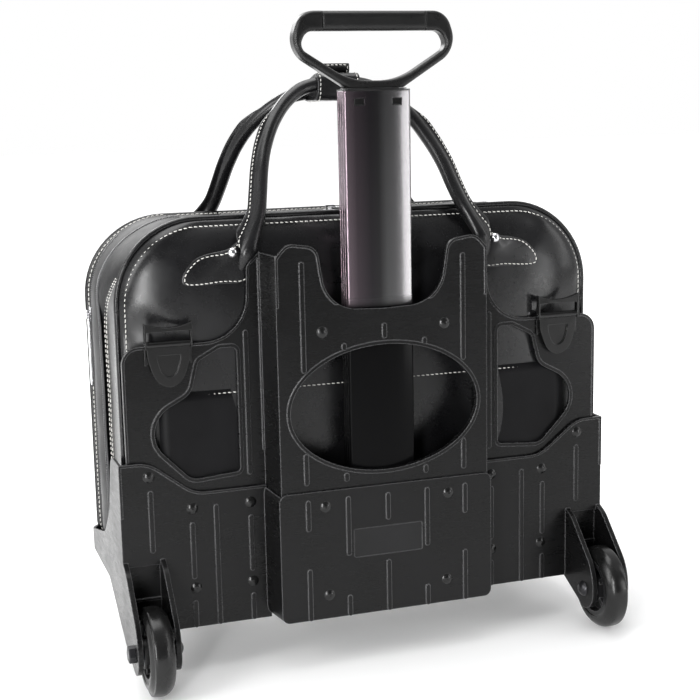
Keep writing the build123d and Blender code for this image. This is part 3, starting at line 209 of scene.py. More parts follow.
def gloss_plastic(name, colour=0.0045, rough=0.16, edge=0.0008, edge_highlight_grey=0.05):
    """Shiny plastic, slightly uneven, with faint painted highlights along its edges."""
    material, tree, shader, place = new_material(name)
    cloud = noise_node(tree, place, 30, 4)
    rounded = soft_edges(tree, edge)
    body = tint(tree, cloud, grey(colour * 0.8), grey(colour * 1.3))
    smears = noise_node(tree, place, 90, 6, 0.7)
    feed(tree, shader, {
        # Painted highlight: the narrow edges are mixed towards a paler grey.
        "Base Color": mixed(tree, edge_highlight_mask(tree, rounded), body, grey(edge_highlight_grey)),
        "Roughness": ramp(tree, smears, rough - 0.03, rough + 0.08),
        "Specular IOR Level": 0.42,
        "Normal": bump(tree, noise_node(tree, place, 160, 2), 0.05, 0.0002, rounded),
    })
    return material


def rubber(name, colour=0.012, rough=0.62, scale=1500):
    material, tree, shader, place = new_material(name)
    cloud = noise_node(tree, place, 40, 4)
    cells = cells_node(tree, place, scale)
    feed(tree, shader, {
        "Base Color": tint(tree, cloud, grey(colour * 0.75), grey(colour * 1.3)),
        "Roughness": ramp(tree, cloud, rough - 0.06, rough + 0.08),
        "Specular IOR Level": 0.4,
        "Normal": bump(tree, cells, 0.25, 0.0001, soft_edges(tree, 0.0007)),
    })
    return material


def metal(name, colour, rough, streak=(1, 1, 1), metallic=1.0):
    """Metal with fine drawing lines along one axis and faint handling marks."""
    material, tree, shader, place = new_material(name)
    marks = noise_node(tree, place, 35, 5, 0.7)
    lines = noise_node(tree, place, 900, 3, 0.6, stretch=streak)
    patches = ramp(tree, marks, rough - 0.03, rough + 0.05)
    feed(tree, shader, {
        "Base Color": tint(tree, marks, tuple(c * 0.86 for c in colour), colour),
        "Roughness": combine(tree, patches, ramp(tree, lines, -0.03, 0.04)),
        "Metallic": metallic,
        "Normal": bump(tree, lines, 0.12, 0.00005, soft_edges(tree, 0.0004)),
    })
    return material


def tube_finish(name):
    """Dark bronze anodising, with painted reflection bands across the tube's width. Below about
    0.32 m, where the tube runs inside the trolley, it is plain black and dull.
    """
    material, tree, shader, place = new_material(name)
    shown = ramp(tree, axis(tree, place, "Z"), 0.0, 1.0, 0.316, 0.326)
    # Painted reflection: across the tube the colour runs from purple through black and grey to
    # pale, in place of the studio's reflection in its face.
    across = ramp(tree, axis(tree, place, "X"), 0.0, 1.0, -0.03, 0.03)
    painted_reflection_bands = add_node(tree, "ValToRGB", {"Fac": across})
    steps = (
        (0.0, (0.25, 0.20, 0.228)),
        (0.16, (0.10, 0.082, 0.094)),
        (0.36, (0.052, 0.048, 0.053)),
        (0.48, (0.056, 0.055, 0.057)),
        (0.60, (0.13, 0.13, 0.132)),
        (0.90, (0.17, 0.165, 0.17)),
    )
    stops = painted_reflection_bands.color_ramp.elements
    for number, (position, colour) in enumerate(steps):
        stop = stops[number] if number < 2 else stops.new(position)
        stop.position = position
        stop.color = (*colour, 1)
    lines = noise_node(tree, place, 900, 3, 0.6, stretch=(6, 6, 0.15))
    glint = combine(tree, shown, 0.4, "MULTIPLY")
    feed(tree, shader, {
        "Base Color": mixed(tree, shown, (0.0025, 0.0025, 0.0027), painted_reflection_bands.outputs["Color"]),
        "Metallic": combine(tree, shown, 0.94, "MULTIPLY"),
        "Specular IOR Level": combine(tree, glint, 0.07),
        "Roughness": ramp(tree, lines, 0.15, 0.21),
        "Normal": bump(tree, lines, 0.08, 0.00005, soft_edges(tree, 0.0008)),
    })
    return material


def woven(name, dark, light, pitch):
    """Plain weave from two crossed waves, with its threads a pitch apart in metres."""
    material, tree, shader, place = new_material(name)
    inputs = {"Vector": place, "Scale": 1 / pitch * 0.314, "Distortion": 0.6}
    warp = add_node(tree, "TexWave", inputs, bands_direction="X").outputs["Fac"]
    weft = add_node(tree, "TexWave", inputs, bands_direction="Z").outputs["Fac"]
    weave = combine(tree, warp, weft, "MULTIPLY")
    fuzz = noise_node(tree, place, 700, 4)
    height = combine(tree, weave, ramp(tree, fuzz, 0, 0.3))
    feed(tree, shader, {
        "Base Color": tint(tree, height, dark, light, 0.1, 1.0),
        "Roughness": 0.85,
        "Sheen Weight": 0.3,
        "Specular IOR Level": 0.25,
        "Normal": bump(tree, height, 0.6, 0.00025),
    })
    return material


def thread(name):
    material, tree, shader, place = new_material(name)
    twist = noise_node(tree, place, 2400, 3)
    feed(tree, shader, {
        "Base Color": tint(tree, twist, (0.55, 0.54, 0.51), (0.86, 0.85, 0.81)),
        "Roughness": 0.75,
        "Normal": bump(tree, twist, 0.5, 0.0001),
    })
    return material


M = {
    "moulding": moulding("black_moulding"),
    "frame_moulding": moulding("frame_moulding", 0.004, 0.26),
    "label_blank": moulding("blank_label", 0.011, 0.5, 0.0004),
    "gloss_black": gloss_plastic("gloss_black_plastic"),
    "rivet_gloss": gloss_plastic("rivet_black", 0.005, 0.2, 0.0005),
    "grip_gloss": gloss_plastic("grip_black_plastic", 0.006, 0.27, 0.0024, 0.012),
    "soft_grip": gloss_plastic("grip_pad_satin", 0.0065, 0.29, 0.0024, 0.012),
    "wheel_tyre": rubber("wheel_polyurethane", 0.006, 0.24, 500),
    "wheel_hub": moulding("hub_plastic", 0.012, 0.3),
    "gunmetal": tube_finish("gunmetal_anodised"),
    "tube_aluminium": metal("tube_aluminium", (0.34, 0.34, 0.36), 0.3, (6, 6, 0.15)),
    "steel": metal("plated_steel", (0.42, 0.42, 0.44), 0.3),
    "chrome_trim": metal("polished_chrome", (0.82, 0.82, 0.84), 0.10),
    "black_steel": metal("black_plated_steel", (0.035, 0.035, 0.038), 0.3, metallic=0.7),
    "leather": leather("black_leather"),
    "leather_side": leather("black_leather_side", gloss=0.42, shine=0.12, coat=0.0),
    "leather_panel": leather("black_leather_panel", gloss=0.27, grain=0.25),
    "leather_roll": leather("black_leather_rolled", gloss=0.26),
    "lining": woven("lining_weave", (0.03, 0.03, 0.033), (0.10, 0.10, 0.108), 0.0011),
    "tape": woven("zip_tape_weave", (0.008, 0.008, 0.009), (0.03, 0.03, 0.033), 0.0008),
    "pad_rubber": rubber("foot_rubber", 0.012, 0.75),
    "thread": thread("contrast_thread"),
    "zip_metal": metal("zip_teeth_metal", (0.25, 0.25, 0.26), 0.28),
}

# These three look a little different from the rest of their slot.
OWN_LOOK = {
    "back_frame": "frame_moulding",
    "grip_core": "grip_gloss",
    "frame_rivets": "rivet_gloss",
}
for entry in frame["record"]["subparts"]:
    node = frame["nodes"].get(entry["node"])
    if node is None:
        continue
    node.data.materials.clear()
    node.data.materials.append(M[OWN_LOOK.get(entry["node"], entry["material_slot"])])


# --- mesh helpers
def add_object(name, data):
    obj = bpy.data.objects.new(name, data)
    bpy.context.scene.collection.objects.link(obj)
    return obj


def piece(name, verts, faces, material, body=None, smooth=True):
    """Visible piece. One without a body rides later, once its modifiers are on."""
    mesh = bpy.data.meshes.new(name)
    mesh.from_pydata([tuple(v) for v in verts], [], faces)
    mesh.validate()
    mesh.update()
    obj = add_object(name, mesh)
    mesh.materials.append(M[material])
    for polygon in mesh.polygons:
        polygon.use_smooth = smooth
    if body:
        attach(obj, body)
    return obj


def grid_faces(rows, columns, closed=False, start=0):
    """Quads between consecutive rows of a grid of points."""
    faces = []
    span = columns if closed else columns - 1
    for i in range(rows - 1):
        for j in range(span):
            k = (j + 1) % columns
            low, high = start + i * columns, start + (i + 1) * columns
            faces.append((low + j, low + k, high + k, high + j))
    return faces


def modifier(obj, kind, **settings):
    made = obj.modifiers.new(kind.lower(), kind)
    for key, value in settings.items():
        setattr(made, key, value)
    return made


def resample(points, pitch):
    """Points at an even spacing along a polyline, with their directions."""
    out = []
    carried = pitch / 2
    for a, b in zip(points, points[1:]):
        length = (b - a).length
        if length < 1e-9:
            continue
        direction = (b - a) / length
        while carried < length:
            out.append((a + direction * carried, direction))
            carried += pitch
        carried -= length
    return out


def curve_through(points, steps, closed=False):
    """Catmull-Rom curve through the points."""
    count = len(points)
    out = []
    for i in range(count if closed else count - 1):
        near = range(i - 1, i + 3)
        near = [k % count if closed else min(max(k, 0), count - 1) for k in near]
        p0, p1, p2, p3 = (points[k] for k in near)
        for step in range(steps):
            t = step / steps
            square = (2 * p0 - 5 * p1 + 4 * p2 - p3) * t**2
            cube = (3 * p1 - p0 - 3 * p2 + p3) * t**3
            out.append(0.5 * (2 * p1 + (p2 - p0) * t + square + cube))
    if not closed:
        out.append(points[-1].copy())
    return out


def sweep(name, path, section, body, closed, outward):
    """Rolled leather swept along a path. section(i) gives (outward, sideways) offsets."""
    count = len(path)
    verts = []
    for i, point in enumerate(path):
        if closed:
            tangent = path[(i + 1) % count] - path[i - 1]
        else:
            tangent = path[min(i + 1, count - 1)] - path[max(i - 1, 0)]
        tangent.normalize()
        out = outward(point)
        out = (out - tangent * out.dot(tangent)).normalized()
        side = tangent.cross(out)
        ring = section(i)
        verts += [point + out * a + side * b for a, b in ring]
    columns = len(section(0))
    faces = grid_faces(count, columns, closed=True)
    if closed:
        last = (count - 1) * columns
        for j in range(columns):
            k = (j + 1) % columns
            faces.append((last + j, last + k, k, j))
    else:
        faces.append(tuple(reversed(range(columns))))
        faces.append(tuple(range((count - 1) * columns, count * columns)))
    return piece(name, verts, faces, "leather_roll", body)


def circle(radius, sides):
    turns = [2 * math.pi * k / sides for k in range(sides)]
    return [(radius * math.cos(angle), radius * math.sin(angle)) for angle in turns]


STITCH_SLANT, STITCH_DIP = 0.10, 0.45


def stitches(name, rows, body, pitch=4.5, length=3.2, radius=0.50):
    """Rows of short stitches. Each row is (points, outward function)."""
    verts, faces = [], []
    # Share of the length from the middle, and share of the radius there.
    profile = ((-0.5, 0.35), (-0.36, 0.9), (0.0, 1.0), (0.36, 0.9), (0.5, 0.35))
    sides = 6
    tail = (len(profile) - 1) * sides
    for points, outward in rows:
        for centre, direction in resample(points, pitch * MM):
            out = outward(centre)
            out = (out - direction * out.dot(direction)).normalized()
            side = direction.cross(out)
            along = (direction + side * STITCH_SLANT).normalized()
            start = len(verts)
            for t, r in profile:
                dip = abs(t) * STITCH_DIP * MM
                middle = centre + along * (t * length * MM) - out * dip
                for a, b in circle(1.0, sides):
                    verts.append(middle + (out * a + side * b) * (radius * r * MM))
            faces += grid_faces(len(profile), sides, closed=True, start=start)
            faces.append(tuple(start + k for k in reversed(range(sides))))
            faces.append(tuple(start + tail + k for k in range(sides)))
    piece(name, verts, faces, "thread", body)


# --- outline of the case
def case_ring(inset=0.0, drop=0.0):
    """Points round the case outline, anticlockwise from the middle of the foot."""
    half = CASE_HALF - inset
    low = CASE_LOW + inset
    top = CASE_TOP - drop - inset
    big, small = CORNER_R - inset, FOOT_R - inset
    points = []

    def line(a, b, steps):
        for step in range(steps):
            t = step / steps
            points.append((a[0] + (b[0] - a[0]) * t, a[1] + (b[1] - a[1]) * t))

    def arc(cx, cz, radius, start, steps):
        for step in range(steps):
            angle = math.radians(start + 90 * step / steps)
            points.append((cx + radius * math.cos(angle), cz + radius * math.sin(angle)))

    line((0, low), (half - small, low), 14)
    arc(half - small, low + small, small, -90, 6)
    line((half, low + small), (half, top - big), 22)
    arc(half - big, top - big, big, 0, 16)
    line((half - big, top), (FLAP_HALF, top), 1)
    line((FLAP_HALF, top), (-FLAP_HALF, top), 36)
    line((-FLAP_HALF, top), (-half + big, top), 1)
    arc(-half + big, top - big, big, 90, 16)
    line((-half, top - big), (-half, low + small), 22)
    arc(-half + small, low + small, small, 180, 6)
    line((-half + small, low), (0, low), 14)
    return points


def inset_of(x, z, drop=0.0):
    """Distance of a point inside the case outline."""
    top = CASE_TOP - drop
    middle = (CASE_LOW + top) / 2
    radius = CORNER_R if z > middle else FOOT_R
    qx = abs(x) - CASE_HALF + radius
    qz = abs(z - middle) - (top - CASE_LOW) / 2 + radius
    return radius - min(max(qx, qz), 0) - math.hypot(max(qx, 0), max(qz, 0))


def lean(z):
    """How far the rear face leans forwards near its top."""
    return 5.0 * max(0.0, (z - 325) / 69) ** 1.6


def clamp(value):
    return max(0.0, min(1.0, value))


def crowned(x, z, inside, soft, layer):
    """Share of a panel's full crown at a point, and the leather's ripple there."""
    ripple = 0.35 * noise.noise(Vector((x / 60, z / 60, layer))) * min(inside / 20, 1)
    return 1 - math.exp(-((inside / soft) ** 0.9)), ripple


def rear_depth(x, z):
    """Depth of the crowned rear panel."""
    inside = max(inset_of(x, z) - 3.0, 0.0)
    share, ripple = crowned(x, z, inside, 22.0 - 9.0 * clamp((z - 300) / 70), 3.0)
    edge = REAR_SEAM - EDGE_SET
    return edge - (edge - PANEL_DEPTH) * share + lean(z) + max(ripple, -0.2)


def front_depth(x, z):
    """Depth of the crowned front panel."""
    inside = max(inset_of(x, z, FRONT_DROP) - 3.0, 0.0)
    share, ripple = crowned(x, z, inside, 15.0, 9.0)
    edge = FRONT_SEAM - EDGE_SET
    return edge + (PANEL_FRONT - edge) * share + ripple - FRONT_LEAN * lean(z)


BACK = Vector((0, -1, 0))
FORE = Vector((0, 1, 0))


def outward_xz(point):
    """Away from the case's middle, across the gusset."""
    x, z = point.x / MM, point.z / MM
    cx = max(min(x, CASE_HALF - CORNER_R), -CASE_HALF + CORNER_R)
    low = CASE_LOW + FOOT_R
    cz = max(min(z, CASE_TOP - CORNER_R), low)
    if z < low:
        cx = max(min(x, CASE_HALF - FOOT_R), -CASE_HALF + FOOT_R)
    away = Vector((x - cx, 0, z - cz))
    return away.normalized() if away.length > 1e-6 else Vector((0, 0, 1))


# --- crowned panels
# Rings of a panel, as shares of its outline: close together near the edge.
PANEL_RINGS = (1.0, 0.99, 0.978, 0.965, 0.95, 0.93, 0.905, 0.875, 0.84, 0.8)
PANEL_RINGS += (0.75, 0.69, 0.62, 0.54, 0.45, 0.36, 0.27, 0.18, 0.09, 0.02)
EDGE_TURN = 1.5    # how far the panel's edge is turned in


def crowned_panel(name, depth_of, drop, front, replaced):
    """Padded panel with its edge turned in under the piping."""
    border = case_ring(3.4, drop)
    centre_z = (CASE_LOW + CASE_TOP - drop) / 2
    count = len(border)
    verts = []
    wide = FRONT_WIDE if front else 1.0
    for x, z in border:
        if front:
            depth = FRONT_SEAM - EDGE_TURN - FRONT_LEAN * lean(z)
        else:
            depth = REAR_SEAM + EDGE_TURN + lean(z)
        verts.append(at(x * wide, depth, z))
    for scale in PANEL_RINGS:
        for x, z in border:
            px, pz = x * scale, centre_z + (z - centre_z) * scale
            verts.append(at(px * wide, depth_of(px, pz), pz))
    rows = len(PANEL_RINGS) + 1
    faces = grid_faces(rows, count, closed=True)
    faces.append(tuple(range((rows - 1) * count, rows * count)))
    if front:
        faces = [tuple(reversed(face)) for face in faces]
    obj = piece(name, verts, faces, "leather_panel")
    group = obj.vertex_groups.new(name="seam")
    group.add(list(range(3 * count)), 1.0, "REPLACE")
    settle(obj)
    modifier(obj, "SUBSURF", levels=1, render_levels=1)
    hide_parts(replaced)
    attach(obj, "case")


SETTLE_FRAMES, SETTLE_CAP = 20, 1.6


def settle(obj):
    """Lets the leather take up a little slack under light pressure, then keeps the shape."""
    base = [v.co.copy() for v in obj.data.vertices]
    cloth = obj.modifiers.new("cloth", "CLOTH")
    settings = cloth.settings
    settings.vertex_group_mass = "seam"
    settings.quality = 6
    settings.mass = 0.4
    settings.tension_stiffness = 40
    settings.compression_stiffness = 40
    settings.bending_stiffness = 6
    settings.shrink_min = -0.012
    settings.use_pressure = True
    settings.uniform_pressure_force = 1.2
    settings.effector_weights.gravity = 0
    cloth.point_cache.frame_start = 1
    cloth.point_cache.frame_end = SETTLE_FRAMES
    scene = bpy.context.scene
    for number in range(1, SETTLE_FRAMES + 1):
        scene.frame_set(number)
    depsgraph = bpy.context.evaluated_depsgraph_get()
    moved = [v.co.copy() for v in obj.evaluated_get(depsgraph).data.vertices]
    obj.modifiers.remove(cloth)
    for vertex, start, end in zip(obj.data.vertices, base, moved):
        step = end - start
        if step.length > SETTLE_CAP * MM:
            step *= SETTLE_CAP * MM / step.length
        vertex.co = start + step
    scene.frame_set(1)


crowned_panel("rear_leather", rear_depth, 0.0, False, "rear_panel")
crowned_panel("front_leather", front_depth, FRONT_DROP, True, "front_panel")


# --- gusset, top flaps and piping
def gusset_inset(share):
    """Inset of the gusset at a share of the way from rear to front."""
    full = 2.2 - 1.3 * math.sin(math.pi * share)
    depth = SHELL_BACK + (SHELL_FRONT - SHELL_BACK) * share
    for seam in (ZIP_DEPTH, POCKET_ZIP_DEPTH):
        full += 0.8 * math.exp(-(((depth - seam) / 4.5) ** 2))
    return full


# The side walls: a flat strip behind a seam, and a full, swelling part in front of it. The
# seam climbs the side and runs back into the rear piping at the top corner.
# SWELL is the full part's distance in front of the seam and how far it stands out there.
SWELL = ((0.0, 0.0), (12, 2.6), (34, 4.3), (52, 3.0), (62, 0.9), (66, 0.4), (73, 1.5), (82.5, 2.3))
FULL_PART = SHELL_FRONT - SIDE_SEAM
STRIP_DIP = 2.4


def seam_depth(z):
    """Depth of the side seam at a height."""
    return SIDE_SEAM - 60.0 * clamp((z - 296) / 56) ** 1.7


def side_swell(depth, z):
    """How far the side wall stands out from the case outline."""
    seam = seam_depth(z)
    behind = seam - 60.0
    if depth <= seam:
        strip = max(behind, 1.0)
        dip = math.sin(0.5 * math.pi * min((depth - SHELL_BACK) / strip, 1.0))
        return -STRIP_DIP * dip * min(strip / 30, 1)
    start = -STRIP_DIP * min(behind / 30, 1)
    # Only the rear half of the full part stretches back with the seam.
    stretch = (SHELL_FRONT - seam) / FULL_PART
    for (d0, s0), (d1, s1) in zip(SWELL, SWELL[1:]):
        a, b = (SHELL_FRONT - (FULL_PART - d) * (stretch if d < 50 else 1.0) for d in (d0, d1))
        if depth <= b:
            t = clamp((depth - a) / max(b - a, 0.1))
            t = t * t * (3 - 2 * t)
            low = start if d0 == 0.0 else s0
            return low + (s1 - low) * t
    return SWELL[-1][1]


# Depths of the gusset's rings, closer together at its seams and zippers.
DEPTHS = [SHELL_BACK, 61, FLAP_REAR, 68, 73, 78, 83, 88, 93, 98, 103, 108, 112, 116, 119, 121]
DEPTHS += [122.8, 124.5, 127, 129, SLIT_REAR, SLIT_FRONT, 136, 140, 146, 154, 163, 171, 177]
DEPTHS += [181.5, 185, 188, 191, 194.5, 198, FLAP_FRONT, 203, SHELL_FRONT]
REAR_ROW, REAR_FLAP_ROW, FRONT_ROW = 64.2, 68, 198    # depths of the stitched rows
RINGS = []
for depth in DEPTHS:
    share = (depth - SHELL_BACK) / (SHELL_FRONT - SHELL_BACK)
    ring = case_ring(gusset_inset(share), 2.5 + 4.5 * share)
    sag = 4.4 * math.sin(math.pi * share) ** 0.7
    row = []
    for x, z in ring:
        soft = 0.5 * noise.noise(Vector((x / 45, depth / 45, z / 45)))
        dip = sag * max(0.0, 1 - (x / 149) ** 20) if z > 370 else 0.0
        out = outward_xz(Vector((x * MM, 0, z * MM)))
        lean_here = lean(z) * (1 - share) - FRONT_LEAN * lean(z) * share
        sideways = out.x * (soft + side_swell(depth, z) * abs(out.x))
        row.append(at(x + sideways, depth + lean_here, z + out.z * soft - dip))
    RINGS.append(row)

COLUMNS = len(RINGS[0])
ring_plain = case_ring(2.0, 4.0)


def on_flap(j, low, high, i):
    """Whether a gusset quad belongs to the top flap between two depths."""
    x0, z0 = ring_plain[j]
    x1, z1 = ring_plain[(j + 1) % COLUMNS]
    if min(z0, z1) < TOP_LEVEL or max(abs(x0), abs(x1)) > FLAP_HALF + 0.05:
        return False
    return DEPTHS[i] >= low - 0.01 and DEPTHS[i + 1] <= high + 0.01


def gusset_piece(name, chosen, body, replaced):
    """Leather of one part of the gusset, with its own thickness and lining."""
    used = {}
    verts, faces = [], []
    for i, j in chosen:
        k = (j + 1) % COLUMNS
        quad = []
        for row, column in ((i, j), (i, k), (i + 1, k), (i + 1, j)):
            if (row, column) not in used:
                used[(row, column)] = len(verts)
                verts.append(RINGS[row][column])
            quad.append(used[(row, column)])
        faces.append(tuple(reversed(quad)))
    obj = piece(name, verts, faces, "leather")
    for extra in ("lining", "leather_side", "lining"):
        obj.data.materials.append(M[extra])
    for polygon in obj.data.polygons:
        middle = polygon.center
        if abs(middle.x) > 0.15 and middle.y > WEB_Y + seam_depth(middle.z / MM) * MM:
            polygon.material_index = 2
    # The inner side takes the next material, which is the lining.
    wall = modifier(obj, "SOLIDIFY", thickness=2.2 * MM, offset=-1)
    wall.material_offset, wall.material_offset_rim = 1, 0
    modifier(obj, "SUBSURF", levels=1, render_levels=1)
    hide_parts(*replaced)
    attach(obj, body)


rear_cells, front_cells, shell_cells = [], [], []
for i in range(len(DEPTHS) - 1):
    for j in range(COLUMNS):
        if on_flap(j, FLAP_REAR, SLIT_REAR, i):
            rear_cells.append((i, j))
        elif on_flap(j, SLIT_FRONT, FLAP_FRONT, i):
            front_cells.append((i, j))
        elif not on_flap(j, SLIT_REAR, SLIT_FRONT, i):
            shell_cells.append((i, j))

gusset_piece("case_gusset", shell_cells, "case", ["bag_shell"])
gusset_piece("top_leather_rear", rear_cells, "flap_rear", ["top_flap_rear"])
gusset_piece("top_leather_front", front_cells, "flap_front", ["top_flap_front"])


def piping(name, inset, drop, depth, factor, radius, replaced=()):
    """Roll along a seam. The factor is the share of the rear face's lean that it follows."""
    wide = FRONT_WIDE if factor < 0 else 1.0
    path = [at(x * wide, depth + factor * lean(z), z) for x, z in case_ring(inset, drop)]
    obj = sweep(name, path, lambda i: circle(radius * MM, 10), "case", True, outward_xz)
    if replaced:
        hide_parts(*replaced)


piping("rear_piping_roll", 2.3, 0.0, REAR_SEAM, 1.0, 2.3, ["piping_rear"])
piping("rear_piping_inner", 2.9, 1.0, REAR_SEAM + 4.6, 1.0, 1.7)
piping("front_piping_roll", 2.3, FRONT_DROP, FRONT_SEAM, -FRONT_LEAN, 2.3, ["piping_front"])
piping("front_piping_inner", 2.9, FRONT_DROP, FRONT_SEAM - 4.6, -FRONT_LEAN, 1.7)


def closed_path(points):
    return points + [points[0]]


BORDER = 8.6    # the borders are stitched this far inside the outline
rear_border, front_border = [], []
for x, z in case_ring(BORDER, 0.0):
    rear_border.append(at(x, rear_depth(x, z) - 0.3, z))
for x, z in case_ring(BORDER, FRONT_DROP):
    front_border.append(at(x * FRONT_WIDE, front_depth(x, z) + 0.3, z))
border_rows = [
    (closed_path(rear_border), lambda p: BACK),
    (closed_path(front_border), lambda p: FORE),
]
stitches("border_stitching", border_rows, "case")


def is_top(p):
    """Whether a point of the gusset is on the zipped top."""
    return p.z > TOP_LEVEL * MM and abs(p.x) < FLAP_HALF * MM


def lifted(p):
    return p + outward_xz(p) * (THREAD_LIFT * MM)


def gusset_point(depth, j):
    """Point on the gusset at a depth, on one of its lines that run from rear to front."""
    depth = max(depth, DEPTHS[0])
    for i, (a, b) in enumerate(zip(DEPTHS, DEPTHS[1:])):
        if depth <= b:
            return RINGS[i][j].lerp(RINGS[i + 1][j], (depth - a) / (b - a))
    return RINGS[-1][j]


gusset_stitch = []
for row_depth in (REAR_ROW, FRONT_ROW):
    sides = [lifted(p) for p in RINGS[DEPTHS.index(row_depth)]]
    sides = [p for p in sides if not is_top(p)]
    gusset_stitch.append(([p for p in sides if p.x > 0], outward_xz))
    gusset_stitch.append(([p for p in sides if p.x < 0], outward_xz))
for side in (1, -1):
    for offset in (-2.6, 2.6):
        line = []
        for j, (x, z) in enumerate(ring_plain):
            if x * side > 150 and 84 < z < 352:
                line.append(lifted(gusset_point(seam_depth(z) + offset, j)))
        line.sort(key=lambda p: p.z)
        gusset_stitch.append((line, outward_xz))
stitches("gusset_stitching", gusset_stitch, "case")


def flap_stitching(name, row_depth, body):
    edge = [lifted(p) for p in RINGS[DEPTHS.index(row_depth)]]
    edge = [p for p in edge if p.z > TOP_LEVEL * MM and abs(p.x) < (FLAP_HALF - 1) * MM]
    stitches(name, [(edge, outward_xz)], body)


flap_stitching("rear_flap_stitching", REAR_FLAP_ROW, "flap_rear")
flap_stitching("front_flap_stitching", FRONT_ROW, "flap_front")


# --- zippers
def zip_run(depth, z_low):
    """Centre line of a zipper over the gusset, right foot to left foot."""
    index = min(range(len(DEPTHS)), key=lambda i: abs(DEPTHS[i] - depth))
    points = [p for p in RINGS[index] if p.z > z_low * MM]
    level = TOP_LEVEL * MM
    right = sorted((p for p in points if p.x >= 0 and p.z < level), key=lambda p: p.z)
    top = sorted((p for p in points if p.z >= level), key=lambda p: -p.x)
    left = sorted((p for p in points if p.x < 0 and p.z < level), key=lambda p: -p.z)
    return right + top + left


def zip_tape(name, run, width, body):
    """Woven tape that carries the teeth, slightly proud of the leather."""
    section = ((-1, 0.15), (-0.97, 0.55), (0, 0.45), (0.97, 0.55), (1, 0.15))
    verts = []
    for p in run:
        out = outward_xz(p)
        for share, lift in section:
            verts.append(p + Vector((0, share * width * MM, 0)) + out * (lift * MM))
    obj = piece(name, verts, grid_faces(len(run), len(section)), "tape")
    modifier(obj, "SOLIDIFY", thickness=0.3 * MM, offset=-1)
    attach(obj, body)


TOOTH_PITCH = 1.7
# Corners of a tooth: ends along the zipper, then its foot and top, then its reach over the slit.
TOOTH = (
    (0, 1, 4, 3), (1, 2, 5, 4), (6, 9, 10, 7), (7, 10, 11, 8), (0, 6, 7, 1),
    (1, 7, 8, 2), (3, 4, 10, 9), (4, 5, 11, 10), (0, 3, 9, 6), (2, 8, 11, 5),
)


def zip_teeth(name, run, side, body, keep):
    """One row of moulded teeth on its edge of the opening."""
    verts, faces = [], []
    for centre, direction in resample(run, TOOTH_PITCH * MM):
        if not keep(centre):
            continue
        out = outward_xz(centre)
        across = Vector((0, side, 0))
        start = len(verts)
        for along in (-0.42, 0.42):
            for lifts in ((0.5, 0.5, 0.5), (1.5, 1.5, 1.38)):
                for lift, reach, narrow in zip(lifts, (-0.35, 1.0, 2.0), (0.85, 1.0, 0.8)):
                    corner = centre + direction * (along * narrow * MM)
                    verts.append(corner + across * (reach * MM) + out * (lift * MM))
        faces += [tuple(start + k for k in face) for face in TOOTH]
    piece(name, verts, faces, "zip_metal", body, smooth=False)


main_run = zip_run(ZIP_DEPTH, 110)
pocket_run = zip_run(POCKET_ZIP_DEPTH, 120)


def shifted(run, across):
    return [p + Vector((0, across * MM, 0)) for p in run]


main_sides = [p for p in main_run if not is_top(p)]
main_top = [p for p in main_run if is_top(p)]
zip_tape("main_zip_tape_right", [p for p in main_sides if p.x > 0], 7.0, "case")
zip_tape("main_zip_tape_left", [p for p in main_sides if p.x < 0], 7.0, "case")
zip_tape("main_zip_tape_rear", shifted(main_top, -4.2), 3.0, "flap_rear")
zip_tape("main_zip_tape_front", shifted(main_top, 4.2), 3.0, "flap_front")
zip_teeth("main_zip_teeth", shifted(main_run, -0.2), 1, "case", lambda p: not is_top(p))
zip_teeth("main_zip_teeth_rear", shifted(main_run, -0.3), -1, "flap_rear", is_top)
zip_teeth("main_zip_teeth_front", shifted(main_run, 0.3), 1, "flap_front", is_top)
pocket_sides = {}
for side_name, side in (("left", -1), ("right", 1)):
    pocket_sides[side_name] = [p for p in pocket_run if p.x * side > 0 and p.z < 0.376]
    zip_tape("pocket_zip_tape_" + side_name, pocket_sides[side_name], 6.5, "case")
for side_name, run in pocket_sides.items():
    zip_teeth("pocket_zip_teeth_" + side_name, run, 1, "case", lambda p: True)


# --- rear pocket band
def rear_pocket():
    """Wide band of leather that lies on the rear panel."""
    verts = []
    columns, rows = 41, 19
    half, low, tall = 192, 92, 157
    for i in range(rows):
        z = low + tall * i / (rows - 1)
        puff = 0.05 * math.sin(math.pi * i / (rows - 1))
        for j in range(columns):
            x = -half + 2 * half * j / (columns - 1)
            verts.append(at(x, min(rear_depth(x, z) - 0.25, PANEL_DEPTH - 0.1) - puff, z))
    faces = grid_faces(rows, columns)
    obj = piece("rear_pocket_leather", verts, faces, "leather_side")
    modifier(obj, "SOLIDIFY", thickness=1.0 * MM, offset=1)
    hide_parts("rear_pocket")
    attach(obj, "case")


rear_pocket()


def panel_row(points, lift):
    """Stitched row on the rear panel."""
    return [at(x, rear_depth(x, z) - lift, z) for x, z in points], lambda p: BACK


band_rows = [panel_row([(-190 + 380 * k / 60, 245.8) for k in range(61)], 1.6)]
for side in (1, -1):
    for x in (151.5, 157):
        band_rows.append(panel_row([(side * x, 250 + 50 * k / 20) for k in range(21)], 0.4))
stitches("pocket_stitching", band_rows, "case")


# --- carry handles
# Middle of the right half of each handle, from its foot up to its crown: x, depth, z.
REAR_ROUTE = [
    (117, 46.5, 343), (113.5, 40, 354), (109.5, 36, 366), (106, 38.5, 375), (100.5, 44, 386),
    (95, 50, 398), (90.3, 60.5, 415), (85.3, 72, 435), (77.6, 85, 455), (66.2, 97, 475),
    (50, 107.5, 493), (30, 114.5, 504.5), (0, 116, 508.5),
]
FRONT_ROUTE = [
    (117, 207, 343), (113.5, 213, 354), (109.5, 216.8, 366), (106, 217.2, 375),
    (100.5, 216.5, 386), (95, 212, 398), (90.3, 202, 415), (85.3, 190, 435), (77.6, 178, 455),
    (66.2, 165.5, 473), (50, 154, 488), (30, 147.5, 497.5), (0, 146, 500),
]
HANDLE_R = 6.2
LEATHER_THREAD = {"pitch": 4.2, "length": 2.9, "radius": 0.48}


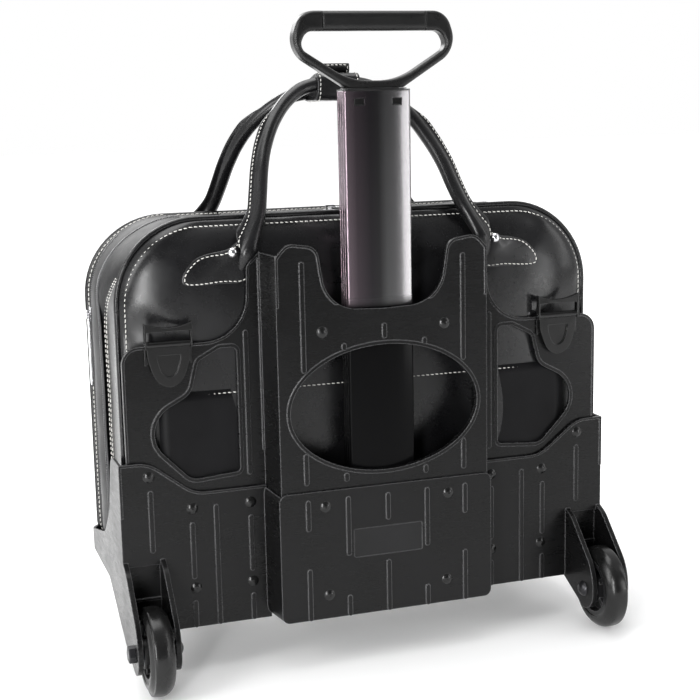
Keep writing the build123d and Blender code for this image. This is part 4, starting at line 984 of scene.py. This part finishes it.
def carry_handle(name, route, face, replaced):
    """Rolled handle with a stitched flange that widens into its tabs."""
    right = [at(*p) for p in route]
    left = [Vector((-p.x, p.y, p.z)) for p in reversed(right[:-1])]
    path = curve_through(right + left, 7)
    middle = at(*route[-1])
    middle.z = 410 * MM

    def outward(point):
        return Vector((point.x - middle.x, 0, max(point.z - middle.z, 0) * 0.9))

    def flange(z):
        """Reach of the flange past the roll, and how far the whole section is flattened."""
        fin = 4.3 * clamp((482 - z) / 14) + 0.2
        fin += 4.5 * clamp((402 - z) / 26) ** 1.5
        fin *= clamp((z - 366) / 13)
        return fin, clamp((388 - z) / 20)

    def section(i):
        fin, flat = flange(path[i].z / MM)
        edge = [(HANDLE_R + fin, 0.0), (HANDLE_R + fin - 0.5, 1.15), (HANDLE_R + 0.45 * fin, 1.5)]
        arc = []
        for k in range(21):
            angle = 0.34 + (2 * math.pi - 0.68) * k / 20
            reach = HANDLE_R + 0.06 * math.sin(9 * angle)
            arc.append((reach * math.cos(angle), reach * math.sin(angle)))
        ring = edge + arc + [(a, -b) for a, b in reversed(edge[1:])]
        tip = max(0.12, min(1.0, (path[i].z / MM - 338) / 26))
        wide, thick = tip * (1 + 0.12 * flat) * MM, tip * (1 - 0.35 * flat) * MM
        return [(a * wide, b * thick) for a, b in ring]

    obj = sweep(name, path, section, None, False, outward)
    modifier(obj, "SUBSURF", levels=1, render_levels=1)
    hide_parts(replaced)
    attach(obj, "case")
    rows = []
    for side in (1, -1):
        points = []
        for p in path:
            if p.x * side > 0 and 0.368 < p.z < 0.476:
                fin, flat = flange(p.z / MM)
                reach = (HANDLE_R + 0.62 * fin) * (1 + 0.12 * flat)
                points.append(p + outward(p).normalized() * (reach * MM) + face * (1.6 * MM))
        rows.append((points, lambda p: face))
    stitches(name + "_stitching", rows, "case", **LEATHER_THREAD)


carry_handle("rear_handle_roll", REAR_ROUTE, BACK, "carry_handle_rear")
carry_handle("front_handle_roll", FRONT_ROUTE, FORE, "carry_handle_front")


# Outline of a right-hand handle tab, its middle, and the stud on it with its flat seats.
TAB_CORNERS = (
    (104, 367), (113, 376), (126, 369.5), (143, 366.5), (155, 362), (165, 351.5),
    (167, 343.5), (161.5, 340.2), (140, 340), (115, 340.2), (107, 345), (103, 355),
)
TAB_MIDDLE = Vector((130, 353, 0))
STUD_X, STUD_Z, STUD_SPREAD = 122.4, 366.8, 15
REAR_SEAT, FRONT_SEAT = 38.0, 215.2
# From a tab's edge inwards: inset and height above the panel.
TAB_RINGS = ((0.0, 0.0), (0.1, 1.1), (0.7, 1.6), (2.0, 1.75), (6.0, 1.9), (11.0, 2.1))


def tab_ring(inset):
    """Outline of a right-hand handle tab as a smooth loop."""
    out = []
    for p in curve_through([Vector((x, z, 0)) for x, z in TAB_CORNERS], 6, closed=True):
        away = (p - TAB_MIDDLE).normalized()
        out.append((p.x - away.x * inset, p.y - away.y * inset))
    return out


def tab_point(x, z, side, front, lift, proud):
    """Point above a panel, drawn to a stud's seat near the stud."""
    if front:
        depth, seat = front_depth(side * x, z) + lift, FRONT_SEAT + proud
    else:
        depth, seat = rear_depth(side * x, z) - lift, REAR_SEAT - proud
    near = math.exp(-((math.hypot(x - STUD_X, z - STUD_Z) / STUD_SPREAD) ** 2))
    return at(side * x, depth + (seat - depth) * (near if lift > 0.5 else 0.0), z)


def handle_tabs():
    verts, faces, rows = [], [], []
    count = len(tab_ring(0))
    for side in (1, -1):
        for front in (False, True):
            start = len(verts)
            for inset, lift in TAB_RINGS:
                verts += [tab_point(x, z, side, front, lift, 0.0) for x, z in tab_ring(inset)]
            made = grid_faces(len(TAB_RINGS), count, closed=True, start=start)
            made.append(tuple(range(start + (len(TAB_RINGS) - 1) * count, len(verts))))
            if front == (side > 0):
                made = [tuple(reversed(f)) for f in made]
            faces += made
            line = [tab_point(x, z, side, front, 2.05, 0.2) for x, z in tab_ring(2.8)]
            rows.append((closed_path(line), (lambda p: FORE) if front else (lambda p: BACK)))
    obj = piece("handle_tab_leather", verts, faces, "leather_roll")
    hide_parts("handle_tabs")
    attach(obj, "case")
    stitches("tab_stitching", rows, "case", **LEATHER_THREAD)


handle_tabs()


# --- wrap over the two handles
# Depth and height of each roll's middle at its crown, and how far the wrap bulges above them.
BACK_CROWN, FORE_CROWN = (116.0, 508.5), (146.0, 500.0)
WRAP_RISE = 0.2


def above(share, lift):
    """Depth and height over the line from the rear crown to the front one."""
    (d0, z0), (d1, z1) = BACK_CROWN, FORE_CROWN
    length = math.hypot(d1 - d0, z1 - z0)
    depth = d0 + (d1 - d0) * share - (z1 - z0) / length * lift
    return depth, z0 + (z1 - z0) * share + (d1 - d0) / length * lift


def wrap_points(radius):
    """Loop round the two rolls in a plane of constant x, as (depth, z) pairs."""
    (d0, z0), (d1, z1) = BACK_CROWN, FORE_CROWN
    first = math.degrees(math.atan2(d1 - d0, z0 - z1))
    arcs = (
        ((d0, z0), first, 180.0, 8),
        ((d0 + 1, z1 + 0.5), 180.0, 270.0, 8),
        ((d1, z1), 270.0, first + 360, 12),
    )
    points = []
    for (cd, cz), start, stop, steps in arcs:
        for k in range(steps + 1):
            angle = math.radians(start + (stop - start) * k / steps)
            points.append((cd + radius * math.cos(angle), cz + radius * math.sin(angle)))
    for k in range(1, 10):
        t = 1 - k / 10
        points.append(above(t, radius + WRAP_RISE * math.sin(math.pi * t)))
    return points


# Half of the wrap's stations across the rolls: x outwards, and how much smaller the loop is.
WRAP_HALF = 20.5
WRAP_STATIONS = [(10, -0.1), (WRAP_HALF - 5, 0.3), (WRAP_HALF - 1.6, 0.0), (WRAP_HALF - 0.5, 0.25)]
WRAP_STATIONS += [(WRAP_HALF, 0.9), (WRAP_HALF - 0.15, 1.9), (WRAP_HALF - 0.9, 3.2)]
# The closing flap from its root to its stitched end: share of the way, height over the crowns.
FLAP_SHAPE = [(1.34, 5.2), (1.22, 8.0), (1.05, 9.15), (0.8, 9.1), (0.5, 9.1), (0.3, 9.5)]
FLAP_SHAPE += [(0.14, 11.4), (0.04, 14.4), (-0.02, 18.4)]
FLAP_ACROSS = (-15.6, -15.0, -9, 0, 9, 15.0, 15.6)
FLAP_THICK = 1.7


def handle_wrap():
    """Wrap round both rolls. A closing flap lies on top, with its stitched end curling up."""
    stations = [(-x, shy) for x, shy in reversed(WRAP_STATIONS)] + [(0, -0.2)] + WRAP_STATIONS
    verts = []
    for x, shy in stations:
        verts += [at(x, depth, z) for depth, z in wrap_points(8.6 - shy)]
    start = len(verts)
    count = start // len(stations)
    faces = grid_faces(len(stations), count, closed=True)
    faces.append(tuple(reversed(range(count))))
    faces.append(tuple(range(start - count, start)))
    for lower in (0.0, FLAP_THICK):
        for share, lift in FLAP_SHAPE:
            curled = share < 0.2
            for x in FLAP_ACROSS:
                taper = 1 - 0.5 * max(0.0, 0.12 - share)
                drop = FLAP_THICK / 2 if abs(x) > 15.3 else lower
                behind, under = (0.045 * drop, 0.4 * drop) if curled else (0.0, drop)
                verts.append(at(x * taper, *above(share + behind, lift - under)))
    rows, columns = len(FLAP_SHAPE), len(FLAP_ACROSS)
    faces += [tuple(reversed(face)) for face in grid_faces(rows, columns, start=start)]
    low = start + rows * columns
    faces += grid_faces(rows, columns, start=low)
    end = (rows - 1) * columns
    for j in range(columns - 1):
        a, b = start + j, low + j
        faces.append((a, a + 1, b + 1, b))
        faces.append((a + end + 1, a + end, b + end, b + end + 1))
    for i in range(rows - 1):
        a, b = start + i * columns, low + i * columns
        faces.append((a + columns, a, b, b + columns))
        a, b = a + columns - 1, b + columns - 1
        faces.append((a, a + columns, b + columns, b))
    obj = piece("handle_wrap_leather", verts, faces, "leather_roll")
    modifier(obj, "SUBSURF", levels=1, render_levels=1)
    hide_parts("handle_wrap")
    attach(obj, "case")
    middle = at(0, 131, 504)

    def away(p):
        return Vector((0, p.y - middle.y, (p.z - middle.z) * 2))

    rows = []
    for x in (2.8 - WRAP_HALF, WRAP_HALF - 2.8):
        rows.append((closed_path([at(x, depth, z) for depth, z in wrap_points(8.75)]), away))
    for x in (-12.8, 12.8):
        rows.append(([at(x, *above(share, lift + 0.2)) for share, lift in FLAP_SHAPE[1:-1]], away))
    rows.append(([at(x, *above(0.0, 16.2)) for x in range(-12, 13, 3)], lambda p: BACK))
    stitches("wrap_stitching", rows, "case", pitch=4.0, length=2.7, radius=0.45)


handle_wrap()


# --- laptop sleeve
def soft_sleeve():
    """Padded sleeve: rounded, slightly swollen and uneven."""
    source = frame["nodes"]["laptop_sleeve"]
    obj = source.copy()
    obj.data = source.data.copy()
    obj.name = "laptop_sleeve_pad"
    obj.data.name = "laptop_sleeve_pad"
    bpy.context.scene.collection.objects.link(obj)
    obj.parent = None
    obj.matrix_world = Matrix.Identity(4)
    for key in list(obj.keys()):
        del obj[key]
    obj.modifiers.clear()
    modifier(obj, "REMESH", mode="VOXEL", voxel_size=5.0 * MM, use_smooth_shade=True)
    depsgraph = bpy.context.evaluated_depsgraph_get()
    mesh = bpy.data.meshes.new_from_object(obj.evaluated_get(depsgraph))
    obj.modifiers.clear()
    obj.data = mesh
    mesh.materials.clear()
    mesh.materials.append(M["lining"])
    for polygon in mesh.polygons:
        polygon.use_smooth = True
        polygon.material_index = 0
    for vertex in mesh.vertices:
        vertex.co += vertex.normal * (0.5 * MM * noise.noise(vertex.co * 28))
    modifier(obj, "SMOOTH", factor=0.5, iterations=3)
    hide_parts("laptop_sleeve")
    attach(obj, "case")


soft_sleeve()


# --- stage
def plain_floor():
    """Pale floor, a little darker on the near side and glowing on the far side."""
    material, tree, shader, place = new_material("pale_floor")
    soft = noise_node(tree, place, 3, 2)
    away = axis(tree, place, "Y")
    pale = combine(tree, ramp(tree, away, 0.0, 0.97, -1.3, -0.35), ramp(tree, soft, 0.0, 0.03))
    feed(tree, shader, {
        "Base Color": tint(tree, pale, grey(0.60), grey(0.92), 0.0, 1.0),
        "Roughness": 0.9,
        "Specular IOR Level": 0.1,
        "Emission Color": (1, 1, 1, 1),
        "Emission Strength": ramp(tree, away, 0.0, 0.55, -0.35, 0.9),
    })
    mesh = bpy.data.meshes.new("floor")
    size = 12
    corners = [(-size, -size, 0), (size, -size, 0), (size, size, 0), (-size, size, 0)]
    mesh.from_pydata(corners, [], [(0, 1, 2, 3)])
    mesh.materials.append(material)
    floor = add_object("floor", mesh)


plain_floor()


def area_light(name, location, target, size, power):
    light = bpy.data.lights.new(name, "AREA")
    light.shape = "RECTANGLE"
    light.size, light.size_y = size
    light.energy = power
    obj = add_object(name, light)
    obj.location = location
    obj.rotation_euler = (Vector(target) - Vector(location)).to_track_quat("-Z", "Y").to_euler()


area_light("key_left", (-2.2, -0.9, 1.5), (0, 0, 0.3), (1.0, 1.8), 34)
area_light("behind_left", (-0.86, -1.30, 0.42), (-0.2, 0, 0.3), (0.22, 0.9), 15)
area_light("fill_right", (2.0, -1.0, 1.1), (0, 0, 0.3), (0.6, 1.8), 8)
area_light("top", (-0.1, 0.2, 2.4), (0, 0, 0.2), (1.8, 1.4), 28)
area_light("front_far", (-0.6, 2.4, 1.6), (0, 0, 0.3), (1.6, 1.2), 26)
area_light("edge_strip", (1.02, -1.2, 0.25), (0, -0.08, 0.4), (0.12, 0.8), 3.4)

world = bpy.data.worlds.new("studio")
world.use_nodes = True
sky = world.node_tree
heading = sky.nodes.new("ShaderNodeTexCoord").outputs["Generated"]
forward = ramp(sky, axis(sky, heading, "Y"), 0.0, 1.0, -0.9, 0.55)
glow = tint(sky, forward, (0.13, 0.13, 0.135), grey(1.0), 0.0, 1.0)
feed(sky, sky.nodes["Background"], {"Color": glow, "Strength": 1.0})
bpy.context.scene.world = world
bpy.context.scene.view_settings.view_transform = "Standard"
bpy.context.scene.view_settings.look = "None"

camera_data = bpy.data.cameras.new("camera")
camera_data.lens = 72.3
camera_data.sensor_width = 36
camera = add_object("camera", camera_data)
CAMERA_AT = Vector((-0.4144, -1.2137, 0.4977))
CAMERA_TO = Vector((-0.0317, -0.0915, 0.2818))
ROLL = math.radians(-1.17)
turn = (CAMERA_TO - CAMERA_AT).to_track_quat("-Z", "Y").to_matrix().to_4x4()
camera.matrix_world = Matrix.Translation(CAMERA_AT) @ turn @ Matrix.Rotation(ROLL, 4, "Z")
bpy.context.scene.camera = camera
